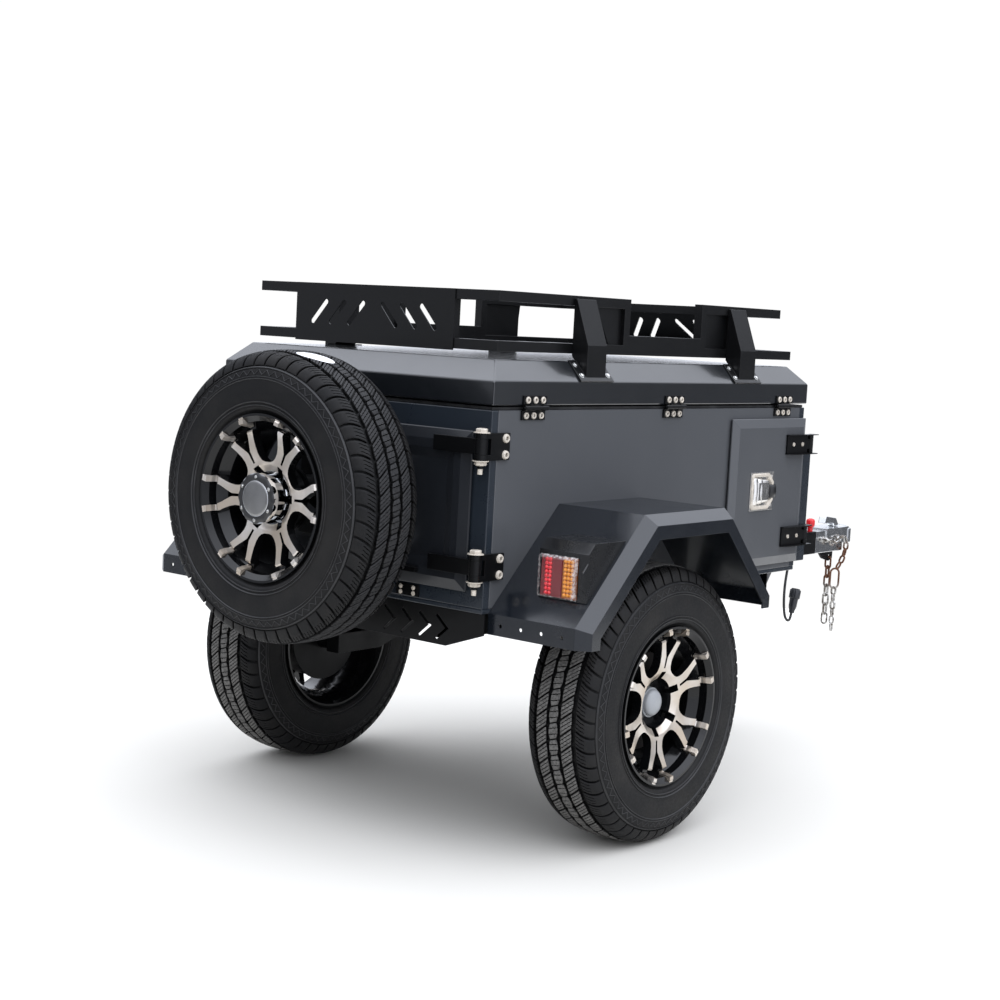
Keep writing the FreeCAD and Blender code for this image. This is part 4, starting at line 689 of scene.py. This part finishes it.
black = (0.0022, 0.0023, 0.0026, 1)
slate_paint = paint_finish("slate_paint", (0.0160, 0.0210, 0.0280, 1), 0.24, 0.30, 0.35)
door_paint = paint_finish("door_paint", (0.0125, 0.0140, 0.0170, 1), 0.26, 0.20, 0.35)
fender_paint = paint_finish("fender_paint", (0.0075, 0.0095, 0.0130, 1), 0.15, 0.35, 0.40)
side_paint = paint_finish("side_paint", (0.0700, 0.0730, 0.0780, 1), 0.28, 0.30)
hood_paint = paint_finish("hood_paint", (0.0030, 0.0032, 0.0038, 1), 0.20, 0.45, 0.40)
lid_paint = paint_finish("lid_paint", (0.0050, 0.0062, 0.0080, 1), 0.26, 1.0)
frame_paint = paint_finish("frame_paint", black, 0.34, 0.05, 0.16, 0.3)
rack_paint = paint_finish("rack_paint", black, 0.28, 0.20, 0.30, 0.9)

dress("tub_rear tub_floor tub_front", slate_paint, 0.0025)
dress("rear_door", door_paint, 0.0025)
dress("tub_side_right tub_side_left side_door_right side_door_left", side_paint, 0.0020)
dress("fender_right fender_left", fender_paint, 0.0014)
dress("lamp_hoods", hood_paint, 0.0020)
dress("lid_shell", lid_paint, 0.0030)
dress("frame_rails cross_members drawbar_braces coupling_gusset rear_skirt", frame_paint, 0.0008)
dress("suspension_tubes trailing_arms stub_axles", frame_paint, 0.0008)
dress("spare_carrier rear_latch rear_latch_keeper", frame_paint, 0.0008)
dress("rear_hinge_straps rear_hinge_brackets side_hinge_straps_right side_hinge_straps_left "
      "side_hinge_brackets lid_hinge_lower lid_hinge_upper", frame_paint, 0.0008)
dress("rack_frame rack_panels rack_floor rack_brackets", rack_paint, 0.0008)


# Seals, coupling and the jack
# Black rubber under the lid, cast iron drums, a galvanised jack and a bright zinc coupling. The
# drawbar is painted black up to its plated end, and a red plastic cap sits on it.
seal_rubber = rubber_finish("seal_rubber", (0.006, 0.006, 0.0065, 1), 0.55)
dress("lid_seal", seal_rubber, 0.0015)
dress("cable_gland", seal_rubber, 0.0006)
dress("jack_wheel", rubber_finish("jack_rubber", (0.014, 0.014, 0.0145, 1), 0.6), 0.0015)
galvanised = steel_finish("galvanised", (0.66, 0.67, 0.68, 1), 0.22)
bright_zinc = steel_finish("bright_zinc", (0.86, 0.87, 0.88, 1), 0.10)
drum_iron = steel_finish("drum_iron", (0.030, 0.028, 0.027, 1), 0.5)
dress("jack_sleeve jack_leg", galvanised, 0.0010)
dress("coupling_body coupling_handle", bright_zinc, 0.0030)
dress("brake_drum_right brake_drum_left", drum_iron, 0.0015)
plated_from = 1.887


def drawbar_finish():
    """Black paint, left off the zinc-plated end that carries the coupling."""
    made = Finish("drawbar_paint", Specular_IOR_Level=0.16)
    y = made.axes(made.place)[1]
    plated = y.ramp(axle_y + plated_from, axle_y + plated_from + 0.002)
    cloud = made.place.noise(45.0, 5.0)
    plating = cloud.blend((0.50, 0.51, 0.52, 1), (0.80, 0.81, 0.82, 1))
    made.feed("Base Color", plated.blend(black, plating))
    made.feed("Metallic", plated)
    made.feed("Roughness", 0.34 - plated * (0.20 - 0.12 * cloud))
    made.feed("Normal", made.place.bump(made.place.noise(700.0), 0.0001, 0.3))
    return made.material


dress("drawbar", drawbar_finish(), 0.0040)
red_plastic = plastic_finish("red_plastic", (0.55, 0.008, 0.012, 1), 0.30)
cap_points = [(0, -0.002), (0.009, -0.002), (0.009, 0.014), (0.014, 0.017), (0.0155, 0.022),
              (0.0155, 0.038), (0.013, 0.043), (0.006, 0.046), (0, 0.0465)]
grid = turned(cap_points, (0.022, axle_y + 1.872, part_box("drawbar")[1].z), "z", 32)
add_piece("red_cap", [grid], red_plastic, "chassis", 50)


# Chain
# A short welded safety chain, galvanised, its zinc gone and rusted brown on the middle links. A
# second length is bolted to the drawbar's side, hangs over the coupling and ends in a ring that
# carries a few links more.
rust_level = 0.415
rust_fade = 0.12


def chain_finish():
    """Zinc above and below, rust between, mixed by a cloud pattern that the height biases."""
    made = Finish("chain_steel")
    z = made.axes(made.place)[2]
    patch = made.place.noise(70.0, 6.0)
    rust = (patch + 1.6 * (z - rust_level) / rust_fade).ramp(0.45, 0.75)
    rust = rust * (1 - z.ramp(0.560, 0.590))
    brown = patch.blend((0.060, 0.022, 0.010, 1), (0.16, 0.062, 0.026, 1))
    grey = patch.ramp(0.40, 0.60).blend((0.14, 0.12, 0.10, 1), (0.55, 0.54, 0.52, 1))
    made.feed("Base Color", rust.blend(grey, brown))
    made.feed("Metallic", 1 - rust)
    made.feed("Roughness", 0.32 + 0.45 * rust)
    made.feed("Normal", made.place.bump(made.place.noise(900.0), 0.0004, 0.3))
    return made.material


def ring_grid(length, width, wire):
    """One welded link about the origin, long way up: a ring drawn out between its two ends."""
    turn = np.concatenate((np.linspace(0, math.pi, 9), np.linspace(math.pi, 2 * math.pi, 9),
                           [0]))[:, None]
    shift = np.array([1.0] * 9 + [-1.0] * 9 + [1.0])[:, None] * (length - width) / 2
    section = np.linspace(0, 2 * math.pi, 11)[None]
    radius = width / 2 - wire + wire * np.cos(section)
    return np.stack((radius * np.cos(turn), wire * np.sin(section) + 0 * turn,
                     radius * np.sin(turn) + shift), -1)


def hung_links(points, length, width, wire):
    """Links along a given line, every second one turned a quarter about it."""
    line = flowing(points, 24)
    arc = np.concatenate(([0], np.cumsum(np.linalg.norm(np.diff(line, axis=0), axis=1))))
    places = np.arange(0, arc[-1], length - 2 * wire)
    lie = np.gradient(line, arc, axis=0)
    middle, along = (np.stack([np.interp(places, arc, part[:, k]) for k in range(3)], -1)
                     for part in (line, lie))
    along /= np.linalg.norm(along, axis=1)[:, None]
    level = np.cross(np.cross(along, (1, 0, 0)), along)
    level /= np.linalg.norm(level, axis=1)[:, None]
    other = np.cross(along, level)
    odd = (np.arange(len(places)) % 2 == 1)[:, None]
    first, second = np.where(odd, other, level), np.where(odd, -level, other)
    one = ring_grid(length, width, wire)[None]
    return (one[..., 0:1] * first[:, None, None] + one[..., 1:2] * second[:, None, None]
            + one[..., 2:3] * along[:, None, None] + middle[:, None, None])


chain_steel = chain_finish()
dress("chain", chain_steel, 0.0006)
chain_wire = 0.0036
link_length, link_width = 0.034, 0.023
chain_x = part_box("coupling_body")[1].x + 0.0120
over_coupling = [(chain_x, 1.950, 0.597), (chain_x, 1.985, 0.587), (chain_x, 2.025, 0.596),
                 (chain_x, 2.060, 0.604), (chain_x, 2.084, 0.580), (0.048, 2.090, 0.540),
                 (0.041, 2.082, 0.508), (0.036, 2.062, 0.484)]
below_ring = [(0.034, 2.056, 0.402), (0.034, 2.056, 0.340), (0.034, 2.056, 0.262)]
links = [hung_links(np.add(points, (0, axle_y, 0)), link_length, link_width, chain_wire)
         for points in (over_coupling, below_ring)]
big_ring = ring_grid(0.080, 0.040, 0.0036)
facing = np.array(Matrix.Rotation(math.radians(50), 3, "Z"))
links.append((big_ring @ facing.T + (0.034, axle_y + 2.056, 0.448))[None])
bolt = bolt_heads([(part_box("drawbar")[1].x, axle_y + 1.944, 0.598)], (1, 0, 0), 0.0085, 0.018)
add_piece("second_chain", links + [bolt], chain_steel, "chassis", 50)


# Lid hinge rivets
# Three round-headed rivets through each leaf of the three lid hinges, bright zinc, each with a
# dished middle.
def dished_heads(places, outward, radius, height):
    """Round heads whose profile rises from the rim to a lip and dips deep in the middle."""
    r = np.array([1.0, 0.98, 0.84, 0.56, 0.46, 0.42, 0.36, 0.14, 0.10, 0]) * radius
    z = np.array([0, 0.5, 0.9, 1.0, 0.75, -0.6, -0.7, -0.7, 0.3, 0.4]) * height
    return set_out(r, z, np.linspace(0, 2 * math.pi, 25), places, outward)


cream_zinc = plastic_finish("cream_zinc", (0.52, 0.47, 0.40, 1), 0.22)
side_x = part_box("tub_side_right")[1].x
lid_edge_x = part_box("lid_shell")[1].x
lower_leaves, upper_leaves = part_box("lid_hinge_lower"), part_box("lid_hinge_upper")
hinge_reaches = (-0.348, 0.269, 0.853)
rivet_spacing = 0.030
rivet_rows = {"lower": (side_x + 0.005, lower_leaves[0].z + 0.0110, "chassis"),
              "upper": (lid_edge_x + 0.004, upper_leaves[1].z - 0.0110, "lid")}
for row, (x, z, body) in rivet_rows.items():
    places = [(x, axle_y + reach + step * rivet_spacing, z) for reach in hinge_reaches
              for step in (-1, 0, 1)]
    add_piece("lid_rivets_" + row, [dished_heads(places, (1, 0, 0), 0.0088, 0.0036)],
              cream_zinc, body, 40)


# Rear hinge bolts
# A long zinc bolt is each rear hinge's pin: hexagon head on top, nut and bare thread below. Two
# more bolts hold each plate to the tub's side, and four the keeper under the door.
tub_rear_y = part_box("tub_rear")[0].y
pin_x = side_x - 0.009
pin_y = tub_rear_y - 0.024
barrel_levels = (0.697, 0.990)
barrel_height = 0.066
pin_head_radius = 0.0142
thread_radius = 0.0064


def threaded_end(places, radius, length, pitch):
    """Bolt ends that point down: a cylinder whose radius ripples like a thread."""
    z = np.linspace(0, length, int(length / pitch) * 4 + 1)
    r = radius * (1 - 0.07 * (0.5 + 0.5 * np.cos(2 * math.pi * z / pitch)))
    r, z = np.append(r, 0), np.append(z, length)
    return set_out(r, -z, np.linspace(0, 2 * math.pi, 25), places, (0, 0, 1))


tops = [(pin_x, pin_y, level + barrel_height) for level in barrel_levels]
bottoms = [(pin_x, pin_y, level) for level in barrel_levels]
plate_bolts = [(side_x + 0.007, pin_y + 0.072, level + rise) for level in barrel_levels
               for rise in (0.013, 0.053)]
low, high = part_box("rear_latch_keeper")
keeper_bolts = [(x, low.y, z) for x in (low.x + 0.016, high.x - 0.016)
                for z in (low.z + 0.007, high.z - 0.007)]
grids = [bolt_heads(tops, (0, 0, 1), pin_head_radius, 0.0108),
         bolt_heads(bottoms, (0, 0, -1), pin_head_radius, 0.0125),
         threaded_end([(x, y, z - 0.012) for x, y, z in bottoms], thread_radius, 0.022, 0.0020),
         dished_heads(plate_bolts, (1, 0, 0), 0.0112, 0.0066),
         bolt_heads(keeper_bolts, (0, -1, 0), 0.0042, 0.0034)]
add_piece("rear_hinge_bolts", grids, cream_zinc, "chassis", 30)


# Side hinge channels
# Each side hinge strap is a folded black channel whose two flanges stand out past the knuckle,
# held to the door by two small bolts.
strap_levels = (0.699, 0.975)
strap_height = 0.054
flange_reach = 0.017
hinge_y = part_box("side_hinge_straps_right")[1].y - 0.009
strap_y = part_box("side_hinge_straps_right")[0].y
strap_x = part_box("side_door_right")[1].x + 0.006


def flange(z, side):
    """A thin plate over the channel's edge: its outline grows outwards along its length."""
    y = np.array([strap_y, strap_y + 0.012, hinge_y - 0.030, hinge_y + 0.018])
    out = np.array([0.002, flange_reach - 0.004, flange_reach, flange_reach - 0.003])
    rows = []
    for inner, level in ((0, 0), (1, 0), (1, 0.0024), (0, 0.0024), (0, 0)):
        rows.append(np.stack((side * (strap_x - 0.006 + inner * (0.006 + out)), y,
                              z + level + 0 * y), -1))
    return np.stack(rows)


for name, side in (("right", 1), ("left", -1)):
    body = "side_door_" + name
    flanges, places = [], []
    for level in strap_levels:
        for z in (level - 0.0026, level + strap_height + 0.0002):
            flanges.append(flange(z, side))
        places += [(side * strap_x, strap_y + step, level + strap_height / 2)
                   for step in (0.034, 0.086)]
    add_piece("side_channels_" + name, flanges, frame_paint, body, 30)
    heads = dished_heads(places, (side, 0, 0), 0.0062, 0.0034)
    add_piece("side_strap_bolts_" + name, [heads], cream_zinc, body, 40)


# Rack feet bolts
# Domed bolts hold the feet of the rack's uprights to the lid's sloped shoulders: two through the
# rear flange of each foot and one through the front.
foot_low = (lid_edge_x, 1.180)
foot_high = (lid_edge_x - 0.045, 1.231)
foot_thickness = 0.0051
foot_reaches = (-0.092, 0.644)
slope = np.subtract(foot_high, foot_low)
square = np.array((slope[1], -slope[0])) / np.hypot(*slope)
heads = []
for side in (1, -1):
    spots = []
    for reach in foot_reaches:
        for step, share in ((-0.057, 0.26), (-0.057, 0.76), (0.057, 0.26)):
            x, z = np.array(foot_low) + share * slope + foot_thickness * square
            spots.append((side * x, axle_y + reach + step, z))
    heads.append(bolt_heads(spots, (side * square[0], 0, square[1]), 0.0056, 0.0042, 0))
add_piece("rack_foot_bolts", heads, zinc, "lid", 40)


# Side latches
# A polished stainless dish with a rolled rim, a lever with three swells in it, and a black cap
# that swings over the lock.
stainless = steel_finish("stainless", (0.86, 0.84, 0.81, 1), 0.16)
latch_black = plastic_finish("latch_black", (0.003, 0.003, 0.004, 1), 0.30)


def swept_ring(outline, section, side, x):
    """Closed outline of (y, z) corners that carries a section of (inwards, outwards) points."""
    outline = np.asarray(outline, float)
    middle = outline.mean(0)
    inward = middle - outline
    inward = inward / np.abs(inward).max(0)
    rows = [np.stack((side * (x + out) + 0 * outline[:, 0], outline[:, 0] + inset * inward[:, 0],
                      outline[:, 1] + inset * inward[:, 1]), -1) for inset, out in section]
    grid = np.stack(rows)
    return np.concatenate((grid, grid[:, :1]), 1)


def pillow(y0, y1, z0, z1, x, height, side, power):
    """A low cushion on a plane: its height falls off at the edges by a high power."""
    a, b = np.meshgrid(np.linspace(-1, 1, 25), np.linspace(-1, 1, 21), indexing="ij")
    lift = height * (1 - np.abs(a) ** power) ** 0.5 * (1 - np.abs(b) ** power) ** 0.5
    return np.stack((side * (x + lift), (y0 + y1) / 2 + a * (y1 - y0) / 2,
                     (z0 + z1) / 2 + b * (z1 - z0) / 2), -1)


for name, side in (("right", 1), ("left", -1)):
    dress("side_latch_" + name, stainless, 0.0008)
    body = "side_door_" + name
    low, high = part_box("side_latch_" + name)
    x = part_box("side_door_right")[1].x + 0.004
    y0, y1, z0, z1 = low.y, high.y, low.z, high.z
    outline = [(y0 + 0.004, z0 + 0.012), (y0 + 0.012, z0 + 0.003), (y1 - 0.030, z0 + 0.003),
               (y1 - 0.004, z0 + 0.028), (y1 - 0.004, z1 - 0.028), (y1 - 0.030, z1 - 0.003),
               (y0 + 0.012, z1 - 0.003), (y0 + 0.004, z1 - 0.012)]
    section = [(0, -0.001), (0, 0.0018), (0.0022, 0.0042), (0.0060, 0.0046), (0.0095, 0.0028),
               (0.0115, -0.0020)]
    swells = [(y0 + 0.016, y0 + 0.040, 0.014, 0.009), (y0 + 0.038, y0 + 0.066, 0.018, 0.012),
              (y0 + 0.064, y1 - 0.022, 0.022, 0.008)]
    lever = [pillow(start, end, z0 + inset, z1 - inset, x - 0.002, height, side, 2.0)
             for start, end, inset, height in swells]
    add_piece("latch_frame_" + name, [swept_ring(outline, section, side, x)], cream_zinc, body,
              35)
    add_piece("latch_handle_" + name, lever, stainless, body, 35)
    middle = (z0 + z1) / 2
    cover = pillow(y1 - 0.028, y1 + 0.007, middle - 0.021, middle + 0.019, x + 0.003, 0.010,
                   side, 1.8)
    add_piece("lock_cover_" + name, [cover], latch_black, body, 60)


# Tail lamps
# Square lamps in the hoods: two columns of domed red light cells and a few of amber ones on plain
# lenses, under a clear pillowed cover with rounded corners.
def lens_finish(name, colour):
    """Tinted glossy plastic with cloudy depth and a faint ripple."""
    made = Finish(name, Roughness=0.10, Coat_Weight=1.0, Coat_Roughness=0.03, IOR=1.49)
    cloud = made.place.noise(160.0, 2.0)
    deep = tuple(c * 0.55 for c in colour[:3]) + (1,)
    made.feed("Base Color", cloud.blend(deep, colour))
    made.feed("Normal", made.place.bump(made.place.noise(240.0, 1.0), 0.0010, 0.4))
    return made.material


cell_pitch = 0.0102
cell_radius = 0.0051
cover_proud = 0.016
red_lens = lens_finish("red_lens", (0.20, 0.002, 0.006, 1))
amber_lens = lens_finish("amber_lens", (0.42, 0.10, 0.004, 1))
red_cell = lens_finish("red_cell", (0.95, 0.006, 0.020, 1))
amber_cell = lens_finish("amber_cell", (1.0, 0.36, 0.008, 1))
dress("tail_lenses_red", red_lens, 0.0015)
dress("tail_lenses_amber", amber_lens, 0.0015)


def light_cells(x0, x1, z0, z1, y):
    """Half balls on a square pitch over a rectangle, facing the rear."""
    def spaced(start, end):
        count = int((end - start) / cell_pitch)
        return (start + end) / 2 + (np.arange(count) - (count - 1) / 2) * cell_pitch

    places = [(x, y, z) for x in spaced(x0, x1) for z in spaced(z0, z1)]
    rise = np.linspace(0, math.pi / 2, 5)
    return set_out(cell_radius * np.cos(rise), cell_radius * np.sin(rise),
                   np.linspace(0, 2 * math.pi, 13), places, (0, -1, 0))


def cover_finish(name, low, high):
    """Clear plastic: nearly unseen over the cells, with a painted highlight, a pale haze, where it
    turns back at the edges of the box low to high."""
    made = Finish(name, Roughness=0.06, Specular_IOR_Level=0.4)
    x, y, z = made.axes(made.place)
    half = (Vector(high) - Vector(low)) / 2
    middle = (Vector(high) + Vector(low)) / 2
    sideways, upright = abs((x - middle.x) / half.x), abs((z - middle.z) / half.z)
    # painted highlight: the cover turns pale and less clear towards its edges
    edge = sideways.maths("MAXIMUM", upright).ramp(0.84, 0.95)
    highlight_haze = made.place.noise(110.0, 3.0).ramp(0.35, 0.75)
    made.feed("Base Color", highlight_haze.blend((0.36, 0.34, 0.33, 1), (0.80, 0.78, 0.76, 1)))
    made.feed("Alpha", 0.03 + edge * (0.16 + 0.6 * highlight_haze))
    made.feed("Normal", made.place.bump(made.place.noise(70.0, 1.0), 0.0010, 0.5))
    return made.material


lens_low, lens_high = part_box("tail_lenses_red")
lamp_outer_x = max(lens_high.x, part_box("tail_lenses_amber")[1].x)
lamp_inner_x = 0.582
lamp_split_x = 0.6458
for name, side in (("right", 1), ("left", -1)):
    spans = {"red": (lamp_inner_x + 0.012, lamp_inner_x + 0.033, red_cell),
             "amber": (lamp_split_x + 0.001, lamp_outer_x - 0.004, amber_cell)}
    for colour, (x0, x1, lens) in spans.items():
        low_x, high_x = sorted((side * x0, side * x1))
        cells = light_cells(low_x, high_x, lens_low.z + 0.004, lens_high.z - 0.004, lens_low.y)
        add_piece(f"cells_{colour}_{name}", [cells], lens, "chassis", 60)
    a, b = np.meshgrid(np.linspace(-1, 1, 33), np.linspace(-1, 1, 33), indexing="ij")
    lift = cover_proud * (1 - a ** 8) ** 0.25 * (1 - b ** 8) ** 0.25
    half_x = (lamp_outer_x - lamp_inner_x) / 2 + 0.003
    half_z = (lens_high.z - lens_low.z) / 2 + 0.002
    middle_x, middle_z = side * (lamp_outer_x + lamp_inner_x) / 2, (lens_low.z + lens_high.z) / 2
    sheet = np.stack((middle_x + a * half_x, lens_low.y - lift, middle_z + b * half_z), -1)
    highlight_haze = cover_finish("lamp_cover_" + name, (middle_x - half_x, 0, middle_z - half_z),
                        (middle_x + half_x, 0, middle_z + half_z))
    add_piece("lamp_cover_" + name, [sheet], highlight_haze, "chassis", 60)


# Tyre label
# A blank white paper oval stuck on the tread of the spare, near its top.
label_turn = math.radians(75)
label_along = -0.020
label_long = (-0.042, 0.025)
label_short = (0.0140, 0.0240)
rho, phi = np.linspace(0, 1, 7)[:, None], np.linspace(0, 2 * math.pi, 41)[None]
round_by = rho * (np.cos(phi) * label_long[0] + np.sin(phi) * label_short[0])
theta = label_turn + round_by / tyre_radius
reach = label_along + rho * (np.cos(phi) * label_long[1] + np.sin(phi) * label_short[1])
radius, along = tread_surface(reach, -0.0006)
sheet = wheel_place(radius, along, theta, wheel_centres["spare"], "y")
label_paper = plastic_finish("label_paper", (0.80, 0.80, 0.80, 1), 0.40)
add_piece("tyre_label", [sheet], label_paper, "rear_door", 60)
